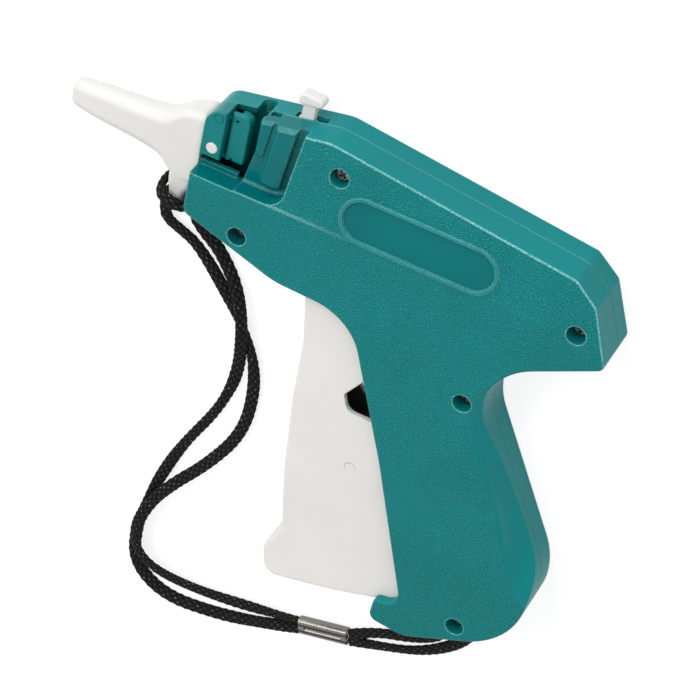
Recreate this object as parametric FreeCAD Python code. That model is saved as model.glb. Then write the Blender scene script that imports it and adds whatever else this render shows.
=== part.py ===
import FreeCAD, Part
import math
import os

# Garment tag attacher lying on its right cheek. Lengths in mm, +Z up.
# Origin: on the resting cheek, under the needle axis, at the feed station (middle of the clip slot).
# -X towards the needle, +Y towards the top of the tool, +Z through the thickness.

os.makedirs("parts", exist_ok=True)

# ---------------------------------------------------------------- casing
BODY_T = 21.0            # thickness between the two flat cheeks
PART_Z = 8.5             # parting plane, which also holds the needle axis
WALL = 2.0               # moulded wall
NOSE = 17.0              # front face ahead of the feed station
CREASE_Y = -2.4          # line where the left cheek starts to slope
FACET_DROP = 0.083       # fall of the sloping facet per mm of height
EDGE_R = 0.9             # rounding of the cheek edges
TOP_Y0 = 18.8            # top of the casing at the front face
PEAK = (26.0, 27.6)      # highest point of the top line
TAIL_TOP = (112.4, 17.2)
TAIL_BACK = (120.8, 10.6)
TAIL_LOW = (129.2, -9.4)
WEB = (85.1, -32.8)      # where thumb and finger wrap round
GRIP_BACK = (125.4, -102.3)
HEEL = (129.7, -129.5)
SOLE = (89.1, -148.4)
LIP = (76.0, -146.9)
LIP_TOP = (76.4, -138.3)     # lip in front of the trigger's foot
THROAT = (85.8, -136.2)
MOUTH_LOW = -142.0           # floor of the trigger's opening behind the lip
GRIP_FRONT = (66.2, -81.0)
CHIN = (45.8, -31.0)
BELLY = (18.0, -30.0)
NOSE_LOW = -18.6
FLUTE_R = 19.6           # hollow for the thumb down the grip's rear left edge
FLUTE_EASE = 1.2         # rounding where the hollow meets the cheek
# three points of the hollow's middle line: x, y and height above the left cheek
FLUTE_TOP = (106.8, -44.5, 12.6)
FLUTE_MIDDLE = (129.4, -78.1, 2.2)
FLUTE_LOW = (134.6, -108.6, 20.0)

# ---------------------------------------------------------------- screws
SCREW_AT = [(2.8, -19.1), (31.5, 17.0), (88.1, -44.2), (117.1, -1.2), (105.7, -133.9)]
RECESS_R = 3.25
HEAD_R = 2.75
HEAD_H = 2.0
SHANK_R = 1.45
SEAT_Z = 14.5            # shoulder that the screw heads bear on
BOSS_R = 4.6             # round the recess
POST_R = 3.0             # round the shank, below the recess
SCREW_FIT = 0.05         # radial play round a screw
PIN_END = 1.2            # pins stop this far inside each cheek

# ---------------------------------------------------------------- label pad
LABEL_AT = (61.6, 5.8)
LABEL_L = 54.4
LABEL_H = 16.6
RIM_W = 1.1
RIM_UP = 0.45            # rim proud of the facet
FLOOR_DOWN = 0.35        # pad floor below the facet

# ---------------------------------------------------------------- head
POCKET_Y = -2.6          # lower wall of the head pocket
POCKET_X = 14.7          # rear wall of the head pocket at its lower end
POCKET_R = 6.5
HEAD_LEAN = 0.105        # the pocket's rear wall and the feed housing lean back by this per mm of height
POCKET_Z = 14.0          # floor of the head pocket
SKIN = 1.6               # moulding thickness round the pocket
GROOVE_REAR = [(-1.4, -3.0), (0.8, 9.5), (1.0, 14.0)]    # rear side of the groove the paddles run down
RIB = (2.6, 9.0, 14.9)   # rear side at the pocket's lower wall, lower end, face height
BLOCK = (4.4, 11.5, 0.6, 17.0)   # front, rear, lower end, face height of the feed housing
BLOCK_WALL = 1.2
CLIP_SLOT = (-3.4, 1.5, 1.5, 12.0)   # x0, x1, z0, z1 of the clip slot in the top
CLIP_ARCH = 2.4          # rounding of the slot's corners on the right half
NOTCH = (2.2, 5.7, 8.0, 10.9)
HOUSING_EASE = 1.3       # slope at the upper ends of the feed housing and its rib
SKIRT = 0.8              # slope round the foot of the feed housing
KNOB_SLOT = (9.2, 20.2, 4.9, 8.1)
SLOT_DEEP = 5.0

# ---------------------------------------------------------------- needle, hub, cap
NEEDLE_R = 1.05
NEEDLE_BORE = 0.75
NEEDLE_OUT = 27.0        # needle beyond the front face
NEEDLE_IN = 12.4
NEEDLE_SLOT = 0.6
HUB_R = 3.0
HUB_OUT = 3.0            # hub beyond the front face
HUB_IN = 9.0
FIT = 0.05               # radial play of a turning or sliding round fit
GAP = 0.3                # gap between moving faces
CAP_LONG = 48.6          # cap beyond the front face
# sections of the cap: distance behind its tip, top, low edge, half thickness, corner radius
CAP_SECTIONS = [
    (0.0, 2.4, -2.4, 1.2, 1.1), (0.4, 3.6, -3.5, 2.2, 2.0), (1.4, 4.7, -4.5, 3.0, 2.8),
    (3.4, 5.3, -5.1, 3.5, 3.2), (18.0, 6.6, -6.6, 4.3, 3.7), (31.0, 7.8, -7.9, 5.0, 4.0),
    (33.6, 8.3, -8.6, 5.1, 4.0), (35.6, 9.2, -9.8, 5.2, 3.8), (37.4, 10.5, -11.4, 5.3, 3.4),
    (39.4, 12.1, -12.6, 5.4, 3.0), (41.6, 13.3, -13.1, 5.5, 2.6), (44.2, 13.9, -13.2, 5.7, 2.2),
    (48.45, 13.9, -13.2, 5.9, 1.6)]
# sections of the foot: height, front, rear, low face, top face, corner radius
FOOT_SECTIONS = [
    (-7.0, -26.0, -18.2, 3.6, 13.6, 1.6), (-11.5, -26.9, -18.2, 3.2, 13.9, 1.8),
    (-14.0, -27.0, -18.6, 3.6, 13.6, 1.8), (-16.6, -26.9, -19.8, 4.4, 13.1, 1.8),
    (-19.0, -26.6, -21.2, 5.2, 12.5, 1.6), (-21.5, -26.3, -21.5, 5.4, 12.1, 1.3),
    (-25.2, -26.0, -21.6, 5.5, 11.8, 1.2)]

# ---------------------------------------------------------------- nose block and lock lever
BLOCK_BACK = -9.9        # rear face of the nose block
BLOCK_LOW = 1.8
LEDGE = (-16.9, -3.4, -1.1, 12.0)    # x0, x1, upper edge and underside of the ledge below the nose block
BLOCK_FACE = 15.8
LOCK_BACK = -2.7
LOCK_TOP = 19.2          # upper end of the hinge
LOCK_LOW = 1.8
LOCK_Z0 = 9.1
LOCK_Z1 = 13.2
LOCK_AXIS = (-8.3, 12.1) # x, z of the lock lever's hinge
LOCK_BARREL_R = 1.1
LOCK_LUG = 0.9           # width of the hinge lugs
LOCK_KNUCKLE = 1.7       # length of the flap's knuckle beyond the upper lug
LOCK_PIN_R = 0.5
DOT_AT = (-12.95, 5.6)
DOT_R = 1.95
MARK_AT = (-12.4, 17.2)

# ---------------------------------------------------------------- trigger
TRIG_PIVOT = (90.0, -132.4)
TRIG_PIN_R = 1.5
TRIG_Z0 = 3.6
TRIG_Z1 = 17.2
TRIG_WALL = 1.8
TRIG_SWING = 16.0        # degrees from rest to fully squeezed
TRIG_HUB_R = 4.6
TRIG_FRONT = [           # finger face from its top to the hook at its foot
    (27.9, -32.4, 2.0), (30.9, -51.0, 60.0), (31.4, -74.0, 160.0), (34.2, -106.0, 120.0),
    (37.9, -129.5, 4.0), (32.9, -140.6, 4.5), (35.4, -152.4, 5.0)]
TRIG_SOLE = [(60.0, -146.4, 120.0), (83.0, -138.8, 4.0)]
TRIG_REAR = [            # from the hinge up the side that enters the grip
    (95.0, -137.4, 4.6), (95.0, -126.0, 5.0), (84.5, -117.0, 8.0), (77.4, -86.0, 4.0), (77.0, -74.4, 3.0),
    (68.0, -72.0, 3.0), (55.9, -49.5, 3.0), (51.0, -36.0, 3.0), (41.0, -31.4, 6.0)]
PEG_R = 1.2

# ---------------------------------------------------------------- drive lever and pusher
LEVER_PIVOT = (76.7, -57.2)
LEVER_PIN_R = 1.6
LEVER_T = 5.0
LEVER_HUB_R = 4.8
LEVER_HALF_W = 2.0
LEVER_TOP = PART_Z + LEVER_T / 2.0 + 0.3
SPAN = math.dist(TRIG_PIVOT, LEVER_PIVOT)
LEAN = math.degrees(math.atan2(LEVER_PIVOT[1] - TRIG_PIVOT[1], LEVER_PIVOT[0] - TRIG_PIVOT[0]))
PUSH_STROKE = 42.0
LEVER_HALF = math.degrees(math.atan2(PUSH_STROKE / 2.0, -LEVER_PIVOT[1]))
HALF_TAN = math.tan(math.radians(LEVER_HALF))
TRIG_HALF = math.radians(TRIG_SWING / 2.0)
DRIVE_R = SPAN * HALF_TAN / (math.sin(TRIG_HALF) + HALF_TAN * math.cos(TRIG_HALF))
FORK_PLAY = 0.6          # play of the pegs in the lever's slots
SLIDE_L = 15.0
SLIDE_Y0 = -4.5
SLIDE_Y1 = 6.0
SLIDE_Z0 = 2.3
SLIDE_Z1 = 14.7
ROD_R = 0.6
ROD_TIP = 5.0            # tip of the pusher rod behind the feed station at rest
GUIDE_X = (23.0, 27.0)

# ---------------------------------------------------------------- feed and release
WHEEL_AT = (8.4, 12.0)
WHEEL_Z0 = 9.0
WHEEL_Z1 = 12.0
WHEEL_R = 5.6
WHEEL_TEETH = 12
AXLE_R = 0.8
PAWL_AT = (18.6, 4.6)
STEM_X0 = 11.2
STEM_X1 = 15.5
KNOB_TOP = 34.0
KNOB_HEAD_H = 3.5
KNOB_FOOT = (1.2, 0.6, 1.6)  # how far the foot stands out ahead of and behind the stem, and its height
KNOB_TRAVEL = 4.0
RETURN_COIL = (3.0, 0.4, 14)     # radius to the wire's middle, wire radius, turns
RELEASE_COIL = (1.1, 0.2, 6)

# ---------------------------------------------------------------- strap
CORD_D = 3.4
FERRULE = (18.4, 6.6, 4.2)       # length, width and height of the crimped sleeve
FERRULE_AT = (57.3, -179.6, 2.3)
FERRULE_TURN = 14.5
LOOP_SLOT = (98.2, -150.0, 3.0, 113.2, -134.0, 7.8)   # slot in the butt that the strap's loop goes in by

PAST = 300.0             # longer than the whole tool, for cuts that run past it


def vec(x, y, z=0.0):
    return FreeCAD.Vector(x, y, z)


def rounded(points):
    """Closed wire in the XY plane through (x, y, radius) corners, each rounded by its own arc."""
    count = len(points)
    joints = []
    for i, (x, y, radius) in enumerate(points):
        here = vec(x, y)
        back = (vec(*points[i - 1][:2]) - here).normalize()
        ahead = (vec(*points[(i + 1) % count][:2]) - here).normalize()
        half = back.getAngle(ahead) / 2.0
        reach = radius / math.tan(half)
        bisector = (back + ahead).normalize()
        middle = here + bisector * (radius / math.sin(half) - radius)
        joints.append((here + back * reach, middle, here + ahead * reach, radius))
    edges = []
    for i, (start, middle, end, radius) in enumerate(joints):
        if radius > 0:
            edges.append(Part.Arc(start, middle, end).toShape())
        edges.append(Part.LineSegment(end, joints[(i + 1) % count][0]).toShape())
    return Part.Wire(edges)


def slab(wire, z0, z1):
    body = Part.Face(wire).extrude(vec(0, 0, z1 - z0))
    body.translate(vec(0, 0, z0))
    return body


def box(x0, y0, z0, x1, y1, z1):
    return Part.makeBox(x1 - x0, y1 - y0, z1 - z0, vec(x0, y0, z0))


def post(at, radius, z0, z1):
    return Part.makeCylinder(radius, z1 - z0, vec(at[0], at[1], z0))


def bar_x(x0, x1, y, z, radius):
    return Part.makeCylinder(radius, x1 - x0, vec(x0, y, z), vec(1, 0, 0))


def bar_y(y0, y1, x, z, radius):
    return Part.makeCylinder(radius, y1 - y0, vec(x, y0, z), vec(0, 1, 0))


def corners(x0, y0, x1, y1, radius):
    return rounded([(x0, y0, radius), (x1, y0, radius), (x1, y1, radius), (x0, y1, radius)])


def near(edge, test):
    """True if both ends and the middle of the edge pass the test."""
    points = [edge.valueAt(edge.FirstParameter), edge.valueAt(edge.LastParameter)]
    points.append(edge.valueAt((edge.FirstParameter + edge.LastParameter) / 2.0))
    return all(test(p) for p in points)


def near_end(z, ends):
    return z < ends[0] + 0.01 or z > ends[1] - 0.01


def soften(body, radius, test):
    return body.makeFillet(radius, [e for e in body.Edges if near(e, test)])


def top_line(x):
    """Height of the casing's top at x, ahead of the peak."""
    return TOP_Y0 + (x + NOSE) * (PEAK[1] - TOP_Y0) / (PEAK[0] + NOSE)


def outline():
    return rounded([
        (-NOSE, NOSE_LOW, 3.5),
        (BELLY[0], BELLY[1], 25.0),
        (CHIN[0], CHIN[1], 20.0),
        (GRIP_FRONT[0], GRIP_FRONT[1], 80.0),
        (THROAT[0], THROAT[1], 5.0),
        (LIP_TOP[0], LIP_TOP[1], 1.9),
        (LIP[0], LIP[1], 3.2),
        (SOLE[0], SOLE[1], 12.0),
        (HEEL[0], HEEL[1], 28.5),
        (GRIP_BACK[0], GRIP_BACK[1], 30.0),
        (WEB[0], WEB[1], 24.0),
        (TAIL_LOW[0], TAIL_LOW[1], 3.0),
        (TAIL_BACK[0], TAIL_BACK[1], 2.5),
        (TAIL_TOP[0], TAIL_TOP[1], 2.5),
        (PEAK[0], PEAK[1], 12.0),
        (-NOSE, TOP_Y0, 6.5),
    ])


def above_facet(shift):
    """Everything above the left cheek's sloping facet, moved up by shift."""
    low = BODY_T + shift
    upper_y = CREASE_Y + PAST
    upper_z = low - PAST * FACET_DROP
    side = Part.makePolygon([
        vec(-PAST, CREASE_Y, low), vec(-PAST, upper_y, upper_z),
        vec(-PAST, upper_y, PAST), vec(-PAST, CREASE_Y, PAST), vec(-PAST, CREASE_Y, low)])
    return Part.Face(side).extrude(vec(2 * PAST, 0, 0))


def casing():
    """Whole outer form of the two halves, with rounded cheek edges and the thumb flute."""
    form = slab(outline(), 0, BODY_T).cut(above_facet(0.0))
    form = soften(form, EDGE_R, lambda p: p.z < 0.01)
    form = soften(form, EDGE_R, lambda p: p.z > BODY_T - 4.5 and p.y < CREASE_Y + 0.01)
    ring = flute_ring().toShape()
    form = form.cut(thumb_flute(FLUTE_R))
    return soften(form, FLUTE_EASE, lambda p: p.z > BODY_T - 0.01
                  and abs(ring.distToShape(Part.Vertex(p))[0] - FLUTE_R) < 0.01)


def flute_ring():
    """Middle line of the thumb hollow, a large circle that dips past the grip's rear edge."""
    return Part.Circle(*[vec(x, y, BODY_T + above) for x, y, above in (FLUTE_TOP, FLUTE_MIDDLE, FLUTE_LOW)])


def thumb_flute(radius):
    """Concave hollow down the grip's rear left edge, a slice of a ring."""
    ring = flute_ring()
    return Part.makeTorus(ring.Radius, radius, ring.Center, ring.Axis)


def cavity():
    """Hollow inside both halves, kept clear of the flute by the thickness of the wall."""
    inner = outline().makeOffset2D(-WALL)
    hollow = slab(inner, WALL, BODY_T - WALL)
    return hollow.cut(above_facet(-WALL)).cut(thumb_flute(FLUTE_R + WALL))


def leaned(x, y):
    """x of a leaning line of the head at height y, where it is at x on the pocket's lower wall."""
    return x + HEAD_LEAN * (y - POCKET_Y)


def pocket_wire(grow):
    """Head pocket: open at the front and the top, with one round corner."""
    low = POCKET_Y - grow
    rear = POCKET_X + grow
    return rounded([
        (-PAST, low, 0), (leaned(rear, low), low, POCKET_R + grow),
        (leaned(rear, PAST), PAST, 0), (-PAST, PAST, 0)])


def groove_wire():
    """Groove along the front of the pocket, down to the parting plane."""
    low, middle, top = GROOVE_REAR
    return rounded([
        (-PAST, low[1], 0), (low[0], low[1], 0.5), (middle[0], middle[1], 0), (top[0], top[1], 0),
        (top[0], PAST, 0), (-PAST, PAST, 0)])


def housing_wire(shrink):
    """Outline of the feed housing, which runs out through the casing's top."""
    front = BLOCK[0] + shrink
    rear = BLOCK[1] - shrink
    low = BLOCK[2] + shrink
    return rounded([
        (leaned(front, low), low, 1.8), (leaned(rear, low), low, 1.8),
        (leaned(rear, PAST), PAST, 0), (leaned(front, PAST), PAST, 0)])


def trigger_mouth():
    """Opening along the front of the grip that the trigger moves in."""
    mouth = rounded([
        (25.5, -60.0, 0), (25.5, -27.0, 1.0), (CHIN[0] + 4, CHIN[1] + 4.5, 6.0),
        (GRIP_FRONT[0] + 8, GRIP_FRONT[1], 20), (THROAT[0] + 6.1, THROAT[1] + 3.2, 2.0),
        (THROAT[0] + 4.6, MOUTH_LOW - 0.4, 1.0), (LIP[0] + 2.8, MOUTH_LOW + 0.4, 1.0),
        (LIP[0] - 6, MOUTH_LOW + 0.2, 0), (LIP[0] - 30, -100.0, 0)])
    return slab(mouth, TRIG_Z0 - GAP, TRIG_Z1 + GAP)


def label_pad():
    """Raised oval rim round a smooth sunken pad."""
    half = LABEL_H / 2.0
    x0 = LABEL_AT[0] - LABEL_L / 2.0
    x1 = LABEL_AT[0] + LABEL_L / 2.0
    y0 = LABEL_AT[1] - half
    y1 = LABEL_AT[1] + half
    oval = corners(x0, y0, x1, y1, half - 0.01)
    well = corners(x0 + RIM_W, y0 + RIM_W, x1 - RIM_W, y1 - RIM_W, half - RIM_W - 0.01)
    rim = slab(oval, BODY_T - 3.2, BODY_T + 1).cut(above_facet(RIM_UP))
    rim = rim.cut(box(x0 - 1, y0 - 1, BODY_T + RIM_UP - 0.05, x1 + 1, CREASE_Y + 1, BODY_T + 3))
    sink = slab(well, BODY_T - 3.2, BODY_T + 3).common(above_facet(-FLOOR_DOWN))
    low_sink = slab(well, BODY_T - FLOOR_DOWN, BODY_T + 3)
    return rim, sink.fuse(low_sink)


def left_shell(form):
    """Left half: the cheek with the screw recesses, the label pad and the head pocket."""
    shell = form.common(box(-PAST, -PAST, PART_Z, PAST, PAST, PAST))
    shell = shell.cut(cavity())
    lining = slab(pocket_wire(SKIN), POCKET_Z - SKIN, BODY_T)
    for at in SCREW_AT:
        lining = lining.fuse([post(at, POST_R, PART_Z, BODY_T - 1), post(at, BOSS_R, SEAT_Z - 2, BODY_T - 1)])
    lining = lining.fuse(post(TRIG_PIVOT, TRIG_PIN_R + 1.8, TRIG_Z1 + GAP, BODY_T - 0.5))
    lining = lining.fuse(post(LEVER_PIVOT, LEVER_PIN_R + 1.8, LEVER_TOP + GAP, BODY_T - 0.5))
    lining = lining.fuse(rails(SLIDE_Z1 - 0.6, BODY_T - 0.5))
    lining = lining.fuse(slab(housing_wire(0), POCKET_Z - SKIN, BODY_T))
    shell = shell.fuse(lining.common(form))
    pocket = slab(pocket_wire(0), POCKET_Z, BODY_T + 5)
    pocket = soften(pocket, 1.4, lambda p: p.z < POCKET_Z + 0.01 and p.x > -PAST + 1 and p.y < PAST - 1)
    pocket = pocket.cut(feed_housing())
    shell = shell.cut(pocket)
    rim, sink = label_pad()
    shell = shell.fuse(rim).cut(sink)
    x0, x1, edge_y, under = LEDGE
    ledge = box(x0, GROOVE_REAR[0][1] - 1, under, x1, edge_y, POCKET_Z)
    shell = shell.cut(slab(groove_wire(), PART_Z - 1, PAST).cut(ledge))
    hollow = slab(housing_wire(BLOCK_WALL), PART_Z - 1, BLOCK[3] - BLOCK_WALL)
    shell = shell.cut(hollow.cut(box(-PAST, top_line(BLOCK[1]) - 3.0, 0, PAST, 2 * PAST, PAST)))
    for at in SCREW_AT:
        shell = shell.cut(post(at, RECESS_R, SEAT_Z, BODY_T + 2))
        shell = shell.cut(post(at, SHANK_R + SCREW_FIT, PART_Z - 1, SEAT_Z + 1))
    shell = shell.cut([
        post(TRIG_PIVOT, TRIG_PIN_R, PART_Z, BODY_T - PIN_END),
        post(LEVER_PIVOT, LEVER_PIN_R, PART_Z, BODY_T - PIN_END)])
    return shell.cut([trigger_mouth(), openings()])


def rails(z0, z1):
    """Two ribs that keep the pusher slide in line."""
    x1 = slide_x() + SLIDE_L / 2.0 + 1.0
    x0 = x1 - SLIDE_L - PUSH_STROKE - 4.0
    low = box(x0, SLIDE_Y0 - GAP - 1.5, z0, x1, SLIDE_Y0 - GAP, z1)
    return low.fuse(box(x0, SLIDE_Y1 + GAP, z0, x1, SLIDE_Y1 + GAP + 1.5, z1))


def feed_housing():
    """Raised block over the feed wheel and the narrow rib beside the groove."""
    block = slab(housing_wire(0), POCKET_Z - 1, BLOCK[3])
    block = soften(block, 1.4, lambda p: p.z > BLOCK[3] - 0.01)
    wide = housing_wire(-SKIRT)
    wide.translate(vec(0, 0, POCKET_Z))
    narrow = housing_wire(0)
    narrow.translate(vec(0, 0, POCKET_Z + SKIRT))
    block = block.fuse(Part.makeLoft([wide, narrow], True, True))
    front = GROOVE_REAR[-1][0]
    rib = rounded([
        (front, RIB[1], 0.8), (leaned(RIB[0], RIB[1]), RIB[1], 0.8),
        (leaned(RIB[0], PAST), PAST, 0), (front, PAST, 0)])
    rib = slab(rib, POCKET_Z - 1, RIB[2])
    rib = soften(rib, 0.6, lambda p: p.z > RIB[2] - 0.01)
    return eased(block, BLOCK[3]).fuse(eased(rib, RIB[2]))


def eased(body, face_z):
    """Slopes the upper end of a raised form down to the casing's top."""
    y = top_line(0)
    run = 20.0
    wedge = Part.Face(Part.makePolygon([
        vec(0, y - HOUSING_EASE, face_z), vec(0, y - HOUSING_EASE + run, face_z),
        vec(0, y - HOUSING_EASE + run, face_z - run), vec(0, y - HOUSING_EASE, face_z)]))
    return body.cut(wedge.extrude(vec(40, 40 * (top_line(1) - top_line(0)), 0)))


def openings():
    """Slots in the top and the hole in the front for the needle hub."""
    cuts = []
    for x0, x1, z0, z1 in (NOTCH, KNOB_SLOT):
        cuts.append(box(x0, top_line((x0 + x1) / 2.0) - SLOT_DEEP, z0, x1, PAST, z1))
    x0, x1, z0, z1 = CLIP_SLOT
    clip = slab(rounded([(x0, z0, CLIP_ARCH), (x1, z0, CLIP_ARCH), (x1, z1, 0), (x0, z1, 0)]), 0, PAST)
    clip.rotate(vec(0, 0, 0), vec(1, 0, 0), 90)
    clip.translate(vec(0, PAST + top_line((x0 + x1) / 2.0) - SLOT_DEEP, 0))
    cuts.append(clip)
    cuts.append(knob_room())
    cuts.append(bar_x(-NOSE - 1, -NOSE + HUB_IN + 0.4, 0, PART_Z, HUB_R + 0.05))
    return cuts[0].fuse(cuts[1:])


def right_shell(form):
    """Right half: the plain cheek that the tool rests on, with the screw bosses."""
    shell = form.common(box(-PAST, -PAST, -1, PAST, PAST, PART_Z))
    shell = shell.cut(cavity()).cut(box(*LOOP_SLOT))
    bosses = [post(at, POST_R, 0.5, PART_Z) for at in SCREW_AT]
    bosses.append(post(TRIG_PIVOT, TRIG_PIN_R + 1.8, 0.5, TRIG_Z0 - GAP))
    bosses.append(post(LEVER_PIVOT, LEVER_PIN_R + 1.8, 0.5, 2 * PART_Z - LEVER_TOP - GAP))
    bosses.append(post(WHEEL_AT, AXLE_R + 1.4, 0.5, WHEEL_Z0 - GAP))
    bosses.append(post(PAWL_AT, AXLE_R + 1.0, 0.5, WHEEL_Z0 - GAP))
    bosses.append(rails(0.5, SLIDE_Z0 + 2.6))
    bosses.append(box(-NOSE + 1, -5.0, 0.5, -NOSE + HUB_IN, DOT_AT[1] - DOT_R - 0.2, PART_Z))
    inner = bosses[0].fuse(bosses[1:])
    shell = shell.fuse(inner.common(form))
    for at in SCREW_AT:
        shell = shell.cut(post(at, SHANK_R, 3.0, PART_Z + 1))
    shell = shell.cut([
        post(TRIG_PIVOT, TRIG_PIN_R, PIN_END, PART_Z), post(LEVER_PIVOT, LEVER_PIN_R, PIN_END, PART_Z),
        post(WHEEL_AT, AXLE_R, PIN_END, PART_Z + 1), post(PAWL_AT, AXLE_R, PIN_END, PART_Z + 1)])
    return shell.cut([trigger_mouth(), openings()])


def shell_screws():
    screws = []
    for at in SCREW_AT:
        head = post(at, HEAD_R, SEAT_Z, SEAT_Z + HEAD_H)
        head = soften(head, 0.9, lambda p: p.z > SEAT_Z + HEAD_H - 0.01)
        screw = head.fuse(post(at, SHANK_R, 3.2, SEAT_Z)).removeSplitter()
        cross = box(-0.45, -1.6, 0, 0.45, 1.6, 2).fuse(box(-1.6, -0.45, 0, 1.6, 0.45, 2))
        cross.rotate(vec(0, 0, 0), vec(0, 0, 1), 20 + 23 * len(screws))
        cross.translate(vec(at[0], at[1], SEAT_Z + HEAD_H - 1.1))
        screws.append(screw.cut(cross))
    return Part.Compound(screws)


def nose_block():
    """Block over the needle seat, with the two hinge lugs of the lock lever."""
    block = slab(outline(), PART_Z, BLOCK_FACE)
    block = block.common(box(-PAST, BLOCK_LOW, 0, BLOCK_BACK, PAST, BODY_T))
    block = soften(block, 0.5, lambda p: p.z > BLOCK_FACE - 0.01)
    tenon = box(-NOSE + WALL + 0.05, 5.6, WALL, BLOCK_BACK, 13.5, PART_Z)
    block = block.fuse(tenon)
    for y0 in (LOCK_LOW + 0.05, LOCK_TOP - LOCK_KNUCKLE - LOCK_LUG):
        lug = bar_y(y0, y0 + LOCK_LUG, LOCK_AXIS[0], LOCK_AXIS[1], LOCK_BARREL_R)
        web = box(BLOCK_BACK - 0.1, y0, LOCK_AXIS[1] - LOCK_BARREL_R, LOCK_AXIS[0], y0 + LOCK_LUG,
                  LOCK_AXIS[1] + 0.5)
        block = block.fuse([lug, web])
    block = block.cut(bar_y(0, 30, LOCK_AXIS[0], LOCK_AXIS[1], LOCK_PIN_R))
    block = block.cut(bar_x(-NOSE - 1, BLOCK_BACK + 1, 0, PART_Z, HUB_R + 0.05))
    block = block.cut(post(DOT_AT, DOT_R, 0, BODY_T))
    ring = post(MARK_AT, 1.7, BLOCK_FACE - 0.2, BODY_T).cut(post(MARK_AT, 1.4, BLOCK_FACE - 0.2, BODY_T))
    return block.cut(ring).removeSplitter()


def nose_pin():
    pin = post(DOT_AT, DOT_R, WALL + 1.0, BLOCK_FACE + 0.3)
    return soften(pin, 0.25, lambda p: p.z > BLOCK_FACE)


def lock_lever():
    """Flap behind the nose block, hinged along its front edge."""
    lug_top = LOCK_TOP - LOCK_KNUCKLE
    knuckles = []
    for y0, y1 in ((LOCK_LOW + LOCK_LUG + 0.2, lug_top - LOCK_LUG - 0.15), (lug_top + 0.15, LOCK_TOP)):
        knuckles.append(bar_y(y0, y1, LOCK_AXIS[0], LOCK_AXIS[1], LOCK_BARREL_R))
        knuckles.append(box(LOCK_AXIS[0], y0, LOCK_AXIS[1] - LOCK_BARREL_R, LOCK_AXIS[0] + 2.5, y1, LOCK_Z1))
    front = LOCK_AXIS[0] + LOCK_BARREL_R + 0.3
    plate = slab(rounded([
        (front, LOCK_LOW, 0), (LOCK_BACK, LOCK_LOW, 0.6),
        (LOCK_BACK, top_line(LOCK_BACK) - 1.4, 2.8), (front, LOCK_TOP, 0)]),
        LOCK_Z0, LOCK_Z1)
    plate = soften(plate, 0.6, lambda p: p.z > LOCK_Z1 - 0.01)
    flap = plate.fuse(knuckles).removeSplitter()
    return flap.cut(bar_y(0, LOCK_TOP - 0.5, LOCK_AXIS[0], LOCK_AXIS[1], LOCK_PIN_R + FIT))


def lock_lever_pin():
    return bar_y(LOCK_LOW + 0.15, LOCK_TOP - 0.6, LOCK_AXIS[0], LOCK_AXIS[1], LOCK_PIN_R)


def needle():
    """Slotted tube with a slant-cut point."""
    tube = bar_x(-NOSE - NEEDLE_OUT, -NOSE + NEEDLE_IN, 0, PART_Z, NEEDLE_R)
    tube = tube.cut(bar_x(-NOSE - NEEDLE_OUT - 1, -NOSE + NEEDLE_IN + 1, 0, PART_Z, NEEDLE_BORE))
    tip = -NOSE - NEEDLE_OUT
    slot = box(tip - 1, -NEEDLE_SLOT / 2.0, PART_Z, 0, NEEDLE_SLOT / 2.0, PART_Z + 3)
    under = PART_Z - NEEDLE_R - 0.01
    slant = Part.Face(Part.makePolygon([
        vec(tip - 1, -2, PART_Z + 2), vec(tip - 1, -2, under), vec(tip, -2, under),
        vec(tip + 5.6, -2, PART_Z + 2), vec(tip - 1, -2, PART_Z + 2)]))
    return tube.cut(slot).cut(slant.extrude(vec(0, 4, 0)))


def needle_hub():
    hub = bar_x(-NOSE - HUB_OUT, -NOSE + HUB_IN, 0, PART_Z, HUB_R)
    hub = soften(hub, 0.5, lambda p: p.x < -NOSE - HUB_OUT + 0.01)
    hub = hub.cut(bar_x(-NOSE - 20, -NOSE + 20, 0, PART_Z, NEEDLE_R))
    return hub.cut(box(-NOSE - 20, -NEEDLE_SLOT / 2.0, PART_Z, 0, NEEDLE_SLOT / 2.0, PART_Z + 9))


def cap_section(x, top, low, half, radius):
    """Rounded oblong across the needle axis at x."""
    ring = corners(-half, low, half, top, radius)
    ring.rotate(vec(0, 0, 0), vec(0, 1, 0), 90)
    ring.translate(vec(x, 0, PART_Z))
    return ring


def foot_section(y, x0, x1, z0, z1, radius):
    """Rounded oblong across the foot at height y."""
    ring = corners(x0, z0, x1, z1, radius)
    ring.rotate(vec(0, 0, 0), vec(1, 0, 0), 90)
    ring.translate(vec(0, y, 0))
    return ring


def needle_cap():
    """Flat tapering sheath that widens to its base, with a foot that the strap is hitched to."""
    back = -NOSE - 0.15
    tip = -NOSE - CAP_LONG
    cap = Part.makeLoft([cap_section(tip + run, *rest) for run, *rest in CAP_SECTIONS], True, False)
    foot = Part.makeLoft([foot_section(*row) for row in FOOT_SECTIONS], True, False)
    cap = cap.fuse(foot).removeSplitter()
    cap = cap.cut(bar_x(back - 3.6, back + 1, 0, PART_Z, HUB_R + FIT))
    return cap.cut(bar_x(-NOSE - 36.0, back + 1, 0, PART_Z, NEEDLE_R + 1.1))


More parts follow.
